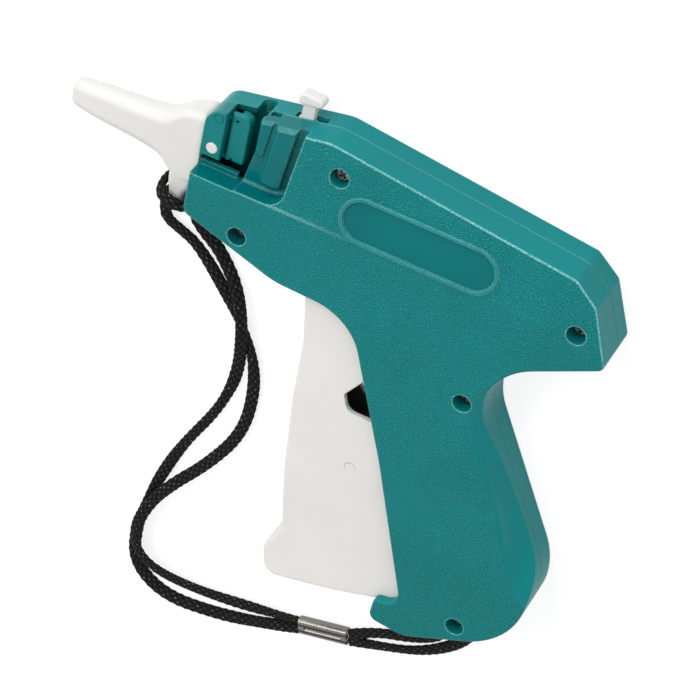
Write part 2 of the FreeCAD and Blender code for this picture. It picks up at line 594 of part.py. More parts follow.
def trigger_hollow():
    """Hollow of the trigger, a wall's thickness inside its face and sole and open at the rear and the top."""
    face = [(x + TRIG_WALL, y, radius) for x, y, radius in TRIG_FRONT]
    above = (face[0][0], TRIG_FRONT[0][1] + 10, 0)
    foot = (face[-1][0], face[-1][1] + TRIG_WALL * 1.2, 3.0)
    sole = (TRIG_SOLE[0][0], TRIG_SOLE[0][1] + TRIG_WALL, 100.0)
    heel = (TRIG_SOLE[1][0] - 3.0, TRIG_SOLE[1][1] + 0.8, 3.0)
    return rounded([
        above, *face[1:-2], (face[-2][0] + 0.5, face[-2][1], 2.7), foot, sole, heel,
        (heel[0] + 2.0, -126.0, 4.0), (PAST, -110.0, 0), (PAST, above[1], 0)])


def trigger():
    """Hollow finger lever, open towards the grip, hinged at its foot."""
    outer = slab(rounded(TRIG_FRONT + TRIG_SOLE + TRIG_REAR), TRIG_Z0, TRIG_Z1)
    ends = (TRIG_Z0, TRIG_Z1)
    outer = soften(outer, 1.2, lambda p: near_end(p.z, ends) and p.x < 40 and p.y < -40)
    inner = trigger_hollow()
    lever = outer.cut(slab(inner, TRIG_Z0 + TRIG_WALL, TRIG_Z1 - TRIG_WALL))
    notch = rounded([
        (48.6, -63.9, 0.5), (50.8, -70.1, 4.0), (74.0, -70.1, 0), (90.0, -45.0, 0), (61.0, -45.1, 0)])
    lever = lever.cut(slab(notch, TRIG_Z0 - 1, TRIG_Z1 + 1))
    hub = post(TRIG_PIVOT, TRIG_HUB_R, TRIG_Z0, TRIG_Z1)
    lever = lever.fuse(hub).cut(post(TRIG_PIVOT, TRIG_PIN_R + FIT, 0, BODY_T))
    return lever.cut(post(peg_at(), PEG_R, TRIG_Z0 + 0.6, TRIG_Z1 - 0.6)).removeSplitter()


def peg_at():
    """Place of the trigger's cross peg at rest."""
    angle = math.radians(LEAN + TRIG_SWING / 2.0)
    return (TRIG_PIVOT[0] + DRIVE_R * math.cos(angle), TRIG_PIVOT[1] + DRIVE_R * math.sin(angle))


def trigger_pin():
    return post(TRIG_PIVOT, TRIG_PIN_R, PIN_END, BODY_T - PIN_END)


def trigger_drive_pin():
    return post(peg_at(), PEG_R, TRIG_Z0 + 0.6, TRIG_Z1 - 0.6)


def slotted_arm(length_from, length_to, peg_r, z0, z1):
    """Arm along +X from the origin with a slot for a peg."""
    half = peg_r + FORK_PLAY
    reach = length_to + half + 1.8
    arm = slab(rounded([
        (0, -LEVER_HALF_W, 0), (length_from - 4, -LEVER_HALF_W - 0.1, 0), (length_from - 1, -half - 1.6, 0),
        (reach, -half - 1.6, 1.8), (reach, half + 1.6, 1.8), (length_from - 1, half + 1.6, 0),
        (length_from - 4, LEVER_HALF_W + 0.1, 0), (0, LEVER_HALF_W, 0)]), z0, z1)
    slot = corners(length_from - half - 0.3, -half, length_to + half + 0.3, half, half - 0.01)
    return arm.cut(slab(slot, z0 - 1, z1 + 1))


def drive_lever():
    """Two-armed lever: the trigger's peg moves its lower arm, its upper arm moves the pusher."""
    z0 = PART_Z - LEVER_T / 2.0
    z1 = PART_Z + LEVER_T / 2.0
    low_from = SPAN - DRIVE_R
    low_to = math.dist(LEVER_PIVOT, peg_at())
    lower = slotted_arm(low_from, low_to, PEG_R, z0, z1)
    lower.rotate(vec(0, 0, 0), vec(0, 0, 1), LEAN + 180 - LEVER_HALF)
    up_from = -LEVER_PIVOT[1]
    upper = slotted_arm(up_from, up_from / math.cos(math.radians(LEVER_HALF)), PEG_R, z0, z1)
    upper.rotate(vec(0, 0, 0), vec(0, 0, 1), 90 - LEVER_HALF)
    lever = post((0, 0), LEVER_HUB_R, 2 * PART_Z - LEVER_TOP, LEVER_TOP).fuse([lower, upper]).removeSplitter()
    lever = lever.cut(post((0, 0), LEVER_PIN_R + FIT, 0, BODY_T))
    lever.translate(vec(LEVER_PIVOT[0], LEVER_PIVOT[1], 0))
    return lever


def drive_lever_pin():
    return post(LEVER_PIVOT, LEVER_PIN_R, PIN_END, BODY_T - PIN_END)


def slide_x():
    return LEVER_PIVOT[0] + PUSH_STROKE / 2.0


def pusher_slide():
    """Carriage of the pusher rod, forked round the drive lever."""
    x = slide_x()
    half = SLIDE_L / 2.0
    body = slab(corners(x - half, SLIDE_Y0, x + half, SLIDE_Y1, 1.2), SLIDE_Z0, SLIDE_Z1)
    lever_room = box(x - half - 1, SLIDE_Y0 - 1, PART_Z - LEVER_T / 2.0 - 0.3, x + half + 1, SLIDE_Y1 + 1,
                     PART_Z + LEVER_T / 2.0 + 0.3)
    lever_room = lever_room.cut(box(x - half - 2, SLIDE_Y0 - 2, 0, x - half + 2.4, SLIDE_Y1 + 2, BODY_T))
    body = body.cut(lever_room).fuse(post((x, 0), PEG_R, SLIDE_Z0 + 1, SLIDE_Z1 - 1)).removeSplitter()
    return body.cut(bar_x(x - half - 1, x - half + 2.4, 0, PART_Z, ROD_R))


def pusher_rod():
    rod = bar_x(ROD_TIP, slide_x() - SLIDE_L / 2.0 + 2.4, 0, PART_Z, ROD_R)
    return soften(rod, 0.2, lambda p: p.x < ROD_TIP + 0.01)


def rod_guide():
    guide = box(GUIDE_X[0], -6.0, WALL, GUIDE_X[1], 6.0, BODY_T - WALL - 0.72)
    return guide.cut(bar_x(GUIDE_X[0] - 1, GUIDE_X[1] + 1, 0, PART_Z, ROD_R + FIT))


def coil(start, along, length, radius, wire_r, turns):
    """Compression spring from start, along an axis, with flat turns left open."""
    helix = Part.makeLongHelix(length / turns, length, radius)
    ring = Part.Wire(Part.makeCircle(wire_r, vec(radius, 0, 0), vec(0, 1, 0)))
    spring = Part.Wire(helix.Edges).makePipeShell([ring], True, True)
    spring.Placement = FreeCAD.Placement(start, FreeCAD.Rotation(vec(0, 0, 1), along))
    return spring


def return_spring():
    start = GUIDE_X[1] + 0.6
    end = slide_x() - SLIDE_L / 2.0 - 0.6
    return coil(vec(start, 0, PART_Z), vec(1, 0, 0), end - start, *RETURN_COIL)


def feed_wheel():
    """Ratchet wheel that draws the clip of fasteners down the groove."""
    wheel = post(WHEEL_AT, WHEEL_R, WHEEL_Z0, WHEEL_Z1)
    for i in range(WHEEL_TEETH):
        bite = box(WHEEL_R - 1.5, -0.2, WHEEL_Z0 - 1, WHEEL_R + 1, 1.3, WHEEL_Z1 + 1)
        bite.rotate(vec(0, 0, 0), vec(0, 0, 1), 360.0 * i / WHEEL_TEETH)
        bite.translate(vec(WHEEL_AT[0], WHEEL_AT[1], 0))
        wheel = wheel.cut(bite)
    return wheel.cut(post(WHEEL_AT, AXLE_R + FIT, 0, BODY_T))


def feed_axle():
    return post(WHEEL_AT, AXLE_R, PIN_END, POCKET_Z - SKIN)


def feed_pawl():
    """Small arm that turns the feed wheel one tooth at each squeeze."""
    hub = post(PAWL_AT, 1.8, WHEEL_Z0, WHEEL_Z1)
    tip = (WHEEL_AT[0] + WHEEL_R + 0.5, WHEEL_AT[1] - 1.6)
    dx = tip[0] - PAWL_AT[0]
    dy = tip[1] - PAWL_AT[1]
    arm = box(0, -0.7, WHEEL_Z0, math.hypot(dx, dy), 0.7, WHEEL_Z1)
    arm.rotate(vec(0, 0, 0), vec(0, 0, 1), math.degrees(math.atan2(dy, dx)))
    arm.translate(vec(PAWL_AT[0], PAWL_AT[1], 0))
    return hub.fuse(arm).removeSplitter().cut(post(PAWL_AT, AXLE_R + FIT, 0, BODY_T))


def feed_pawl_pin():
    return post(PAWL_AT, AXLE_R, PIN_END, POCKET_Z)


def release_knob():
    """Thumb button on a stem that slides along the top of the casing."""
    z0 = KNOB_SLOT[2] + 0.2
    z1 = KNOB_SLOT[3] - 0.2
    low = top_line(STEM_X0) - SLOT_DEEP + 2.4
    stem = box(STEM_X0, low, z0, STEM_X1, KNOB_TOP - KNOB_HEAD_H + 1, z1)
    foot = box(STEM_X0 - KNOB_FOOT[0], low, z0 - 0.8, STEM_X1 + KNOB_FOOT[1], low + KNOB_FOOT[2], z1 + 0.3)
    head = slab(rounded([
        (STEM_X0 - 2.0, KNOB_TOP - KNOB_HEAD_H - 0.9, 1.0), (STEM_X1 + 2.6, KNOB_TOP - KNOB_HEAD_H + 0.3, 1.3),
        (STEM_X1 + 2.2, KNOB_TOP - 0.6, 1.3), (STEM_X0 - 1.2, KNOB_TOP, 1.5)]), z0 - 1.0, z1 + 1.0)
    head = soften(head, 0.7, lambda p: p.z > z1 + 0.99 or p.z < z0 - 0.99)
    return stem.fuse([foot, head]).removeSplitter()


def knob_room():
    """Hollow under the knob slot that its foot slides in."""
    low = top_line(STEM_X0) - SLOT_DEEP + 2.2
    front = STEM_X0 - KNOB_FOOT[0] - 0.4
    rear = STEM_X1 + KNOB_FOOT[1] + KNOB_TRAVEL + 0.6
    return box(front, low, KNOB_SLOT[2] - 0.9, rear, low + KNOB_FOOT[2] + 0.6, PART_Z)


def release_spring():
    middle = vec(0, top_line(STEM_X0) - SLOT_DEEP + 3.8, (KNOB_SLOT[2] + KNOB_SLOT[3]) / 2.0)
    start = STEM_X1 + KNOB_FOOT[1] + RELEASE_COIL[1] + 0.15
    middle.x = start
    return coil(middle, vec(1, 0, 0), KNOB_SLOT[1] - 0.4 - start, *RELEASE_COIL)


def route(points):
    """Straight runs joined by arcs, each arc's radius set by its shorter run and its turn."""
    places = [vec(*p) for p in points]
    edges = []
    radii = []
    last = places[0]
    for before, here, after in zip(places, places[1:], places[2:]):
        back = before - here
        ahead = after - here
        turn = math.pi - back.getAngle(ahead)
        reach = 0.45 * min(back.Length, ahead.Length)
        radius = reach / math.tan(turn / 2.0)
        radii.append(round(radius, 1))
        start = here + back.normalize() * reach
        end = here + ahead.normalize() * reach
        inward = (back + ahead).normalize()
        middle = here + inward * (radius / math.cos(turn / 2.0) - radius)
        edges.append(Part.LineSegment(last, start).toShape())
        edges.append(Part.Arc(start, middle, end).toShape())
        last = end
    edges.append(Part.LineSegment(last, places[-1]).toShape())
    return Part.Wire(edges), radii


def cord(name, points):
    wire, radii = route(points)
    start = vec(*points[0])
    ring = Part.Wire(Part.makeCircle(CORD_D / 2.0, start, vec(*points[1]) - start))
    body = wire.makePipeShell([ring], True, True)
    print(name, "length", round(wire.Length, 1), "arc radii", radii)
    return body


STRAND_A = [
    (-29.8, -29.7, 3.4), (-30.0, -33.9, 2.6), (-29.0, -38.6, 1.9), (-23.4, -41.0, 1.7), (-17.4, -43.4, 1.7),
    (-9.0, -51.4, 1.7), (1.2, -63.9, 1.7), (9.6, -76.2, 1.7), (13.4, -92.0, 1.7), (12.2, -112.0, 1.7),
    (2.0, -131.6, 1.9), (-9.4, -146.4, 4.2), (-16.4, -160.4, 5.1), (-19.0, -175.4, 5.0), (-11.6, -186.6, 3.4),
    (6.0, -189.0, 1.8), (30.0, -185.0, 1.8), (47.7, -180.4, 2.3)]
STRAND_B = [
    (-19.4, -29.9, 3.2), (-18.6, -33.6, 2.2), (-15.0, -37.6, 1.7), (-8.8, -42.0, 1.7), (-1.4, -51.4, 2.1),
    (3.9, -59.7, 4.9), (6.2, -71.4, 4.9), (6.2, -83.0, 2.4), (5.2, -94.0, 1.7), (1.2, -108.0, 1.7),
    (-8.6, -128.6, 1.7), (-15.2, -150.0, 1.7), (-19.4, -172.0, 1.7), (-17.6, -189.4, 1.7), (-4.0, -198.2, 1.7),
    (16.0, -195.6, 1.7), (34.0, -190.0, 1.9), (48.4, -183.5, 2.3)]
HITCH = [
    (-19.4, -28.8, 3.4), (-19.3, -25.4, 5.6), (-19.3, -23.0, 14.2), (-29.4, -20.6, 14.5), (-29.8, -17.8, 3.1),
    (-19.2, -19.6, 3.1), (-19.2, -20.4, 9.4)]
HITCH_BACK = [(-19.6, -23.6, 3.4), (-27.8, -24.2, 3.4), (-29.7, -28.4, 3.4)]
TAIL_LOOP = [
    (66.9, -175.9, 2.4), (74.0, -170.8, 1.7), (88.0, -165.6, 1.7), (98.6, -158.0, 2.2), (100.6, -146.6, 5.0),
    (100.5, -135.6, 5.4), (100.6, -128.8, 5.4), (110.8, -128.6, 5.4), (110.9, -135.6, 5.4), (109.6, -147.0, 5.0),
    (105.0, -158.4, 2.2), (93.4, -169.2, 1.7), (79.6, -175.2, 1.7), (67.2, -178.8, 2.4)]


def strap_hitch():
    return Part.Compound([cord("hitch_turn", HITCH), cord("hitch_back", HITCH_BACK)])


def strap_long():
    return Part.Compound([cord("strand_a", STRAND_A), cord("strand_b", STRAND_B)])


def strap_end_loop():
    return cord("strap_end_loop", TAIL_LOOP)


def ferrule():
    """Crimped sleeve over the two strands."""
    length, width, height = FERRULE
    sleeve = box(-length / 2.0, -width / 2.0, -height / 2.0, length / 2.0, width / 2.0, height / 2.0)
    sleeve = soften(sleeve, 1.6, lambda p: near_end(p.y, (-width / 2.0, width / 2.0))
                    and near_end(p.z, (-height / 2.0, height / 2.0)))
    for side in (-1, 1):
        crimp = bar_x(2.2 - length / 2.0, length / 2.0 - 2.2, 0, side * (height / 2.0 + 0.3), 0.9)
        sleeve = sleeve.cut(crimp)
    sleeve.rotate(vec(0, 0, 0), vec(0, 0, 1), FERRULE_TURN)
    sleeve.translate(vec(*FERRULE_AT))
    return sleeve


if __name__ == "__main__":
    form = casing()
    left_shell(form).exportStep("parts/left_shell.step")
    right_shell(form).exportStep("parts/right_shell.step")
    shell_screws().exportStep("parts/shell_screws.step")
    nose_block().exportStep("parts/nose_block.step")
    nose_pin().exportStep("parts/nose_pin.step")
    lock_lever().exportStep("parts/lock_lever.step")
    lock_lever_pin().exportStep("parts/lock_lever_pin.step")
    needle().exportStep("parts/needle.step")
    needle_hub().exportStep("parts/needle_hub.step")
    needle_cap().exportStep("parts/needle_cap.step")
    trigger().exportStep("parts/trigger.step")
    trigger_pin().exportStep("parts/trigger_pin.step")
    trigger_drive_pin().exportStep("parts/trigger_drive_pin.step")
    drive_lever().exportStep("parts/drive_lever.step")
    drive_lever_pin().exportStep("parts/drive_lever_pin.step")
    pusher_slide().exportStep("parts/pusher_slide.step")
    pusher_rod().exportStep("parts/pusher_rod.step")
    rod_guide().exportStep("parts/rod_guide.step")
    return_spring().exportStep("parts/return_spring.step")
    feed_wheel().exportStep("parts/feed_wheel.step")
    feed_axle().exportStep("parts/feed_axle.step")
    feed_pawl().exportStep("parts/feed_pawl.step")
    feed_pawl_pin().exportStep("parts/feed_pawl_pin.step")
    release_knob().exportStep("parts/release_knob.step")
    release_spring().exportStep("parts/release_spring.step")
    strap_hitch().exportStep("parts/strap_hitch.step")
    strap_long().exportStep("parts/strap_long.step")
    strap_end_loop().exportStep("parts/strap_end_loop.step")
    ferrule().exportStep("parts/ferrule.step")
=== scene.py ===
import math

import bpy
import numpy as np
from mathutils import Matrix, Vector


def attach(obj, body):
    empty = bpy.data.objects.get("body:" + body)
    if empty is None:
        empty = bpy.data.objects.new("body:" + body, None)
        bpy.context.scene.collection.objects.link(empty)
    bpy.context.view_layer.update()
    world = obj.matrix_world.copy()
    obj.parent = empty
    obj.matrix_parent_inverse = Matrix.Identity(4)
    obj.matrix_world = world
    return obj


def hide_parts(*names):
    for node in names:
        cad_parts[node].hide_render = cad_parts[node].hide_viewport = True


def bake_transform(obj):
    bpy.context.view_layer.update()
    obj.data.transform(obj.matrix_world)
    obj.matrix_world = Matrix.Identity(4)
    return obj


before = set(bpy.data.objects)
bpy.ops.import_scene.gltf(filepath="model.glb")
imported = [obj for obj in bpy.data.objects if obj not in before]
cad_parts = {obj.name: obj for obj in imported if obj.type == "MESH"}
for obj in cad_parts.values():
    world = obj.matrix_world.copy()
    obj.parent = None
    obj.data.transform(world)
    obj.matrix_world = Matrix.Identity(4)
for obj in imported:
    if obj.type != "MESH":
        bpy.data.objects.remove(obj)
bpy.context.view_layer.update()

MM = 0.001

# ------------------------------------------------------------------ view
# The tool lies on its right cheek and is seen from above its left cheek through a long lens,
# with the needle end pointing up to the left and the grip hanging down.
LOOK_AT = Vector((45.5, -50.1, 12.0)) * MM
VIEW_RIGHT = Vector((0.89049773, 0.18200145, -0.41700031))
VIEW_UP = Vector((-0.39647514, 0.76002065, -0.51495249))
VIEW_BACK = Vector((0.22320675, 0.62389428, 0.74895572))
VIEW_FAR = 1.0           # metres from LOOK_AT to the lens
LENS_MM = 159.43
SENSOR_MM = 36.0

camera = bpy.data.objects.new("camera", bpy.data.cameras.new("camera"))
bpy.context.collection.objects.link(camera)
camera.data.sensor_width = SENSOR_MM
camera.data.lens = LENS_MM
turn = Matrix((VIEW_RIGHT, VIEW_UP, VIEW_BACK)).transposed()
camera.matrix_world = Matrix.Translation(LOOK_AT + VIEW_BACK * VIEW_FAR) @ turn.to_4x4()
bpy.context.scene.camera = camera
bpy.context.scene.view_settings.view_transform = "Standard"


# ------------------------------------------------------------------ table and studio light
# A pale sheet of card under the tool, three soft boxes round it and two small lamps for the glints.
# The card and the room are white to the eye and in reflections, and the card keeps the shadow.
def linear(hex_colour):
    """An sRGB hex colour as linear red, green, blue and alpha."""
    parts = [int(hex_colour[i:i + 2], 16) / 255.0 for i in (1, 3, 5)]
    return tuple(p / 12.92 if p <= 0.04045 else ((p + 0.055) / 1.055) ** 2.4 for p in parts) + (1.0,)


def add_node(tree, kind, inputs=None, **settings):
    """Adds a node. inputs maps a socket's name or number to a value, another node or one of its outputs."""
    made = tree.nodes.new(kind)
    for name, value in settings.items():
        setattr(made, name, value)
    for name, value in (inputs or {}).items():
        if isinstance(value, bpy.types.Node):
            value = value.outputs[0]
        if isinstance(value, bpy.types.NodeSocket):
            tree.links.new(value, made.inputs[name])
        else:
            made.inputs[name].default_value = value
    return made


def seen_rays(tree):
    """One for rays that come to the eye straight, mirrored or through glass, and zero for the rest."""
    rays = add_node(tree, "ShaderNodeLightPath")
    seen = add_node(tree, "ShaderNodeMath", {
        0: rays.outputs["Is Camera Ray"], 1: rays.outputs["Is Glossy Ray"]}, operation="MAXIMUM")
    return add_node(tree, "ShaderNodeMath", {0: seen, 1: rays.outputs["Is Transmission Ray"]},
                    operation="MAXIMUM")


CARD_SIZE = 6.0          # metres
CARD_DROP = 0.3          # mm that the card lies under the tool
CARD_WHITE = linear("#E1E1E1")
SEEN_CARD = linear("#A2A2A2")
SEEN_GLOW = 0.78         # light that the seen card adds to its own
ROOM_LIGHT = 0.60        # light of the room on the tool, where 1 is white

bpy.ops.mesh.primitive_plane_add(size=CARD_SIZE, location=(0, 0, -CARD_DROP * MM))
card = bpy.context.object
card.name = "table_card"
paper = bpy.data.materials.new("matt paper card")
paper.use_nodes = True
tree = paper.node_tree
tree.nodes.clear()
seen = seen_rays(tree)
plain = add_node(tree, "ShaderNodeBsdfDiffuse", {"Color": CARD_WHITE})
shaded = add_node(tree, "ShaderNodeBsdfDiffuse", {"Color": SEEN_CARD})
glow = add_node(tree, "ShaderNodeEmission", {"Strength": SEEN_GLOW})
lit = add_node(tree, "ShaderNodeAddShader", {0: shaded, 1: glow})
mixed = add_node(tree, "ShaderNodeMixShader", {0: seen, 1: plain, 2: lit})
add_node(tree, "ShaderNodeOutputMaterial", {"Surface": mixed})
card.data.materials.append(paper)

room = bpy.data.worlds.new("white room")
bpy.context.scene.world = room
room.use_nodes = True
tree = room.node_tree
tree.nodes.clear()
seen = seen_rays(tree)
level = add_node(tree, "ShaderNodeMapRange", {"Value": seen, "To Min": ROOM_LIGHT, "To Max": 1.0})
sky = add_node(tree, "ShaderNodeBackground", {"Color": (1, 1, 1, 1), "Strength": level})
add_node(tree, "ShaderNodeOutputWorld", {"Surface": sky})

# name, direction from LOOK_AT as (right, up, back) of the view, distance, width, power in watts
SOFT_BOXES = [
    ("soft_box_top", (-0.45, 0.72, 0.62), 1.1, 0.55, 1.5),
    ("soft_box_left", (-0.85, 0.05, 0.75), 1.2, 0.45, 3.8),
    ("soft_box_front", (0.35, 0.25, 1.0), 1.4, 0.9, 3.6),
    ("small_lamp_top", (-0.40, 0.85, 0.60), 1.1, 0.10, 0.9),
    ("small_lamp_front", (-0.32, 0.34, 0.89), 1.2, 0.12, 1.6),
]
for name, (right, up, back), far, width, power in SOFT_BOXES:
    towards = (VIEW_RIGHT * right + VIEW_UP * up + VIEW_BACK * back).normalized()
    box = bpy.data.objects.new(name, bpy.data.lights.new(name, "AREA"))
    bpy.context.collection.objects.link(box)
    box.data.shape = "SQUARE"
    box.data.size = width
    box.data.energy = power
    box.matrix_world = (Matrix.Translation(LOOK_AT + towards * far)
                        @ towards.to_track_quat("Z", "Y").to_matrix().to_4x4())

# ------------------------------------------------------------------ casing halves
# Two injection-moulded ABS shells that meet in a fine line along the needle axis. The cheeks are
# grained by the mould, the sides, the head pocket, the flute and the label pad are polished.
CHEEK_Z = 21.0           # mm, height of the left cheek
CREASE_Y = -2.4          # mm, above this line the cheek slopes down
FACET_DROP = 0.083       # fall of that slope for each mm
PAD_AT = (61.6, 5.8)     # mm, middle of the label pad
PAD_CORE = 18.9          # mm, half length of the pad's straight part
PAD_R = 8.3              # mm, outer radius of the pad's rim
PAD_RIM = 1.1            # mm, width of that rim
PARTING_Z = 8.5          # mm, height of the parting line
GRAIN_MM = 1.05          # pitch of the mould's leather grain
SPARK_MM = 0.42          # fine spark texture between the grains
PITCH_FLOW_MM = 30.0     # slow change of shade through the moulding
CHEEK_TEAL = linear("#0A8586")
POLISHED_TEAL = linear("#068284")
# Painted shade for the recessed label pad and the head's pocket.
RECESS_SHADE_TEAL = linear("#006D6F")
# Painted glints on the tips of the grain.
GLINT_SPECK_TEAL = linear("#52B9B6")
# Painted highlight colour for the edges.
HIGHLIGHT_TEAL = linear("#A5E2E0")
LINE_TEAL = linear("#0A5455")
LIT_LINE_TEAL = linear("#5DBDBB")


def dress(material, *nodes):
    """Gives CAD nodes their finished material."""
    for name in nodes:
        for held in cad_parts[name].material_slots:
            held.material = material


def new_material(name):
    """An empty material and its node tree."""
    made = bpy.data.materials.new(name)
    made.use_nodes = True
    made.node_tree.nodes.clear()
    return made, made.node_tree


# Grained and polished ABS: matt cheeks with pale specks painted as glints, glossy bands, and crisp edges with
# painted highlights. The grain lies on the two cheeks only, down to a little under their faces, and stays off
# the label pad.
LEFT_SKIN = (0.12, 0.3)  # mm under the left cheek, over which its grain ends
RIGHT_SKIN = (0.1, 0.3)  # mm above the table, over which the right cheek's grain ends
FLAT = (0.88, 0.97)      # height of the normal, from a turned face to a flat one
PAD_SOFT = 0.3           # mm over which the pad's marks fade
grained_abs, tree = new_material("injection-moulded ABS, teal")
place = add_node(tree, "ShaderNodeTexCoord")
at = add_node(tree, "ShaderNodeSeparateXYZ", {0: place.outputs["Object"]})
facing = add_node(tree, "ShaderNodeSeparateXYZ", {0: place.outputs["Normal"]})
past_crease = add_node(tree, "ShaderNodeMath", {0: at.outputs[1], 1: CREASE_Y * MM}, operation="SUBTRACT")
past_crease = add_node(tree, "ShaderNodeMath", {0: past_crease, 1: 0.0}, operation="MAXIMUM")
surface_z = add_node(tree, "ShaderNodeMath", {0: past_crease, 1: -FACET_DROP, 2: CHEEK_Z * MM},
                     operation="MULTIPLY_ADD")
sunk = add_node(tree, "ShaderNodeMath", {0: surface_z, 1: at.outputs[2]}, operation="SUBTRACT")
on_left = add_node(tree, "ShaderNodeMapRange", {
    "Value": sunk, "From Min": LEFT_SKIN[0] * MM, "From Max": LEFT_SKIN[1] * MM, "To Min": 1.0,
    "To Max": 0.0})
up = add_node(tree, "ShaderNodeMapRange", {
    "Value": facing.outputs[2], "From Min": FLAT[0], "From Max": FLAT[1]})
left_cheek = add_node(tree, "ShaderNodeMath", {0: on_left, 1: up}, operation="MULTIPLY")
down = add_node(tree, "ShaderNodeMapRange", {
    "Value": facing.outputs[2], "From Min": -FLAT[1], "From Max": -FLAT[0], "To Min": 1.0, "To Max": 0.0})
on_right = add_node(tree, "ShaderNodeMapRange", {
    "Value": at.outputs[2], "From Min": RIGHT_SKIN[0] * MM, "From Max": RIGHT_SKIN[1] * MM, "To Min": 1.0,
    "To Max": 0.0})
right_cheek = add_node(tree, "ShaderNodeMath", {0: on_right, 1: down}, operation="MULTIPLY")
pad_x = add_node(tree, "ShaderNodeMath", {0: at.outputs[0], 1: PAD_AT[0] * MM}, operation="SUBTRACT")
pad_x = add_node(tree, "ShaderNodeMath", {0: pad_x}, operation="ABSOLUTE")
pad_x = add_node(tree, "ShaderNodeMath", {0: pad_x, 1: PAD_CORE * MM}, operation="SUBTRACT")
pad_x = add_node(tree, "ShaderNodeMath", {0: pad_x, 1: 0.0}, operation="MAXIMUM")
pad_y = add_node(tree, "ShaderNodeMath", {0: at.outputs[1], 1: PAD_AT[1] * MM}, operation="SUBTRACT")
pad_out = add_node(tree, "ShaderNodeCombineXYZ", {0: pad_x, 1: pad_y})
pad_out = add_node(tree, "ShaderNodeVectorMath", {0: pad_out}, operation="LENGTH")
off_pad = add_node(tree, "ShaderNodeMapRange", {
    "Value": pad_out.outputs["Value"], "From Min": PAD_R * MM, "From Max": (PAD_R + PAD_SOFT) * MM})
in_pad = add_node(tree, "ShaderNodeMapRange", {
    "Value": pad_out.outputs["Value"], "From Min": (PAD_R - PAD_RIM - PAD_SOFT) * MM,
    "From Max": (PAD_R - PAD_RIM) * MM, "To Min": 1.0, "To Max": 0.0})
in_pad = add_node(tree, "ShaderNodeMath", {0: in_pad, 1: up}, operation="MULTIPLY")
left_grain = add_node(tree, "ShaderNodeMath", {0: left_cheek, 1: off_pad}, operation="MULTIPLY")
grained = add_node(tree, "ShaderNodeMath", {0: left_grain, 1: right_cheek}, operation="MAXIMUM")

# The grain itself: leather pebbles with a fine spark texture over them.
PEBBLE_EDGE = 0.32       # grains from a valley to the flat top of a pebble
SPARK_RISE = 0.8         # height of the spark texture against a pebble's
leather = add_node(tree, "ShaderNodeTexVoronoi", {
    "Vector": place.outputs["Object"], "Scale": 1 / (GRAIN_MM * MM), "Randomness": 1.0},
    feature="DISTANCE_TO_EDGE")
pebble = add_node(tree, "ShaderNodeMapRange", {
    "Value": leather.outputs["Distance"], "From Min": 0.0, "From Max": PEBBLE_EDGE},
    interpolation_type="SMOOTHSTEP")
spark = add_node(tree, "ShaderNodeTexNoise", {
    "Vector": place.outputs["Object"], "Scale": 1 / (SPARK_MM * MM), "Detail": 3.0, "Roughness": 0.65})
grain_height = add_node(tree, "ShaderNodeMath", {0: spark.outputs["Fac"], 1: SPARK_RISE, 2: pebble},
                        operation="MULTIPLY_ADD")
grain_height = add_node(tree, "ShaderNodeMath", {0: grain_height, 1: grained}, operation="MULTIPLY")
flow = add_node(tree, "ShaderNodeTexNoise", {
    "Vector": place.outputs["Object"], "Scale": 1 / (PITCH_FLOW_MM * MM), "Detail": 2.0})

# The parting line, a shallow dip all round the sides.
LINE_HALF = (0.06, 0.2)  # mm from its middle, over which it ends
from_line = add_node(tree, "ShaderNodeMath", {0: at.outputs[2], 1: PARTING_Z * MM}, operation="SUBTRACT")
from_line = add_node(tree, "ShaderNodeMath", {0: from_line}, operation="ABSOLUTE")
in_line = add_node(tree, "ShaderNodeMapRange", {
    "Value": from_line, "From Min": LINE_HALF[0] * MM, "From Max": LINE_HALF[1] * MM, "To Min": 1.0,
    "To Max": 0.0})

# Painted highlights on the edges: sharp corners, the crease near the head, and the rounded rim above the grip
# where it faces up and to the rear.
EDGE_R = 0.5             # mm, how round every edge looks
HIGHLIGHT_R = 0.8             # mm, how far the painted highlight reaches from an edge
EDGE_TURN = (0.93, 0.998)   # cosine of the turn, from an edge to a flat face
CREASE_BAND = (0.25, 0.95)  # mm to each side of the crease, over which its painted highlight ends
CREASE_HIGHLIGHT = 0.75       # strength of that painted highlight
CREASE_X = (18.0, 44.0)  # mm along the casing, over which that painted highlight ends
RIM_OUT = (0.35, 0.6)    # height of the normal, over which the rim starts
RIM_IN = (0.93, 0.985)   # height of the normal, over which the rim ends
RIM_SIDE = (0.6, 0.8, 0.0)  # direction to the rear and up, which the highlit rim faces
RIM_FACING = (0.05, 0.3)    # how far the rim faces that way, over which its painted highlight starts
RIM_Y = (-38.0, -26.0)   # mm, over which the rim's painted highlight starts above the grip
rounded_edge = add_node(tree, "ShaderNodeBevel", {"Radius": EDGE_R * MM}, samples=6)
wide_edge = add_node(tree, "ShaderNodeBevel", {"Radius": HIGHLIGHT_R * MM}, samples=8)
true_face = add_node(tree, "ShaderNodeNewGeometry")
turned = add_node(tree, "ShaderNodeVectorMath", {0: wide_edge, 1: true_face.outputs["Normal"]},
                  operation="DOT_PRODUCT")
near_edge = add_node(tree, "ShaderNodeMapRange", {
    "Value": turned.outputs["Value"], "From Min": EDGE_TURN[0], "From Max": EDGE_TURN[1], "To Min": 1.0,
    "To Max": 0.0})
from_crease = add_node(tree, "ShaderNodeMath", {0: at.outputs[1], 1: CREASE_Y * MM}, operation="SUBTRACT")
from_crease = add_node(tree, "ShaderNodeMath", {0: from_crease}, operation="ABSOLUTE")
near_crease = add_node(tree, "ShaderNodeMapRange", {
    "Value": from_crease, "From Min": CREASE_BAND[0] * MM, "From Max": CREASE_BAND[1] * MM,
    "To Min": CREASE_HIGHLIGHT, "To Max": 0.0})
near_crease = add_node(tree, "ShaderNodeMath", {0: near_crease, 1: left_grain}, operation="MULTIPLY")
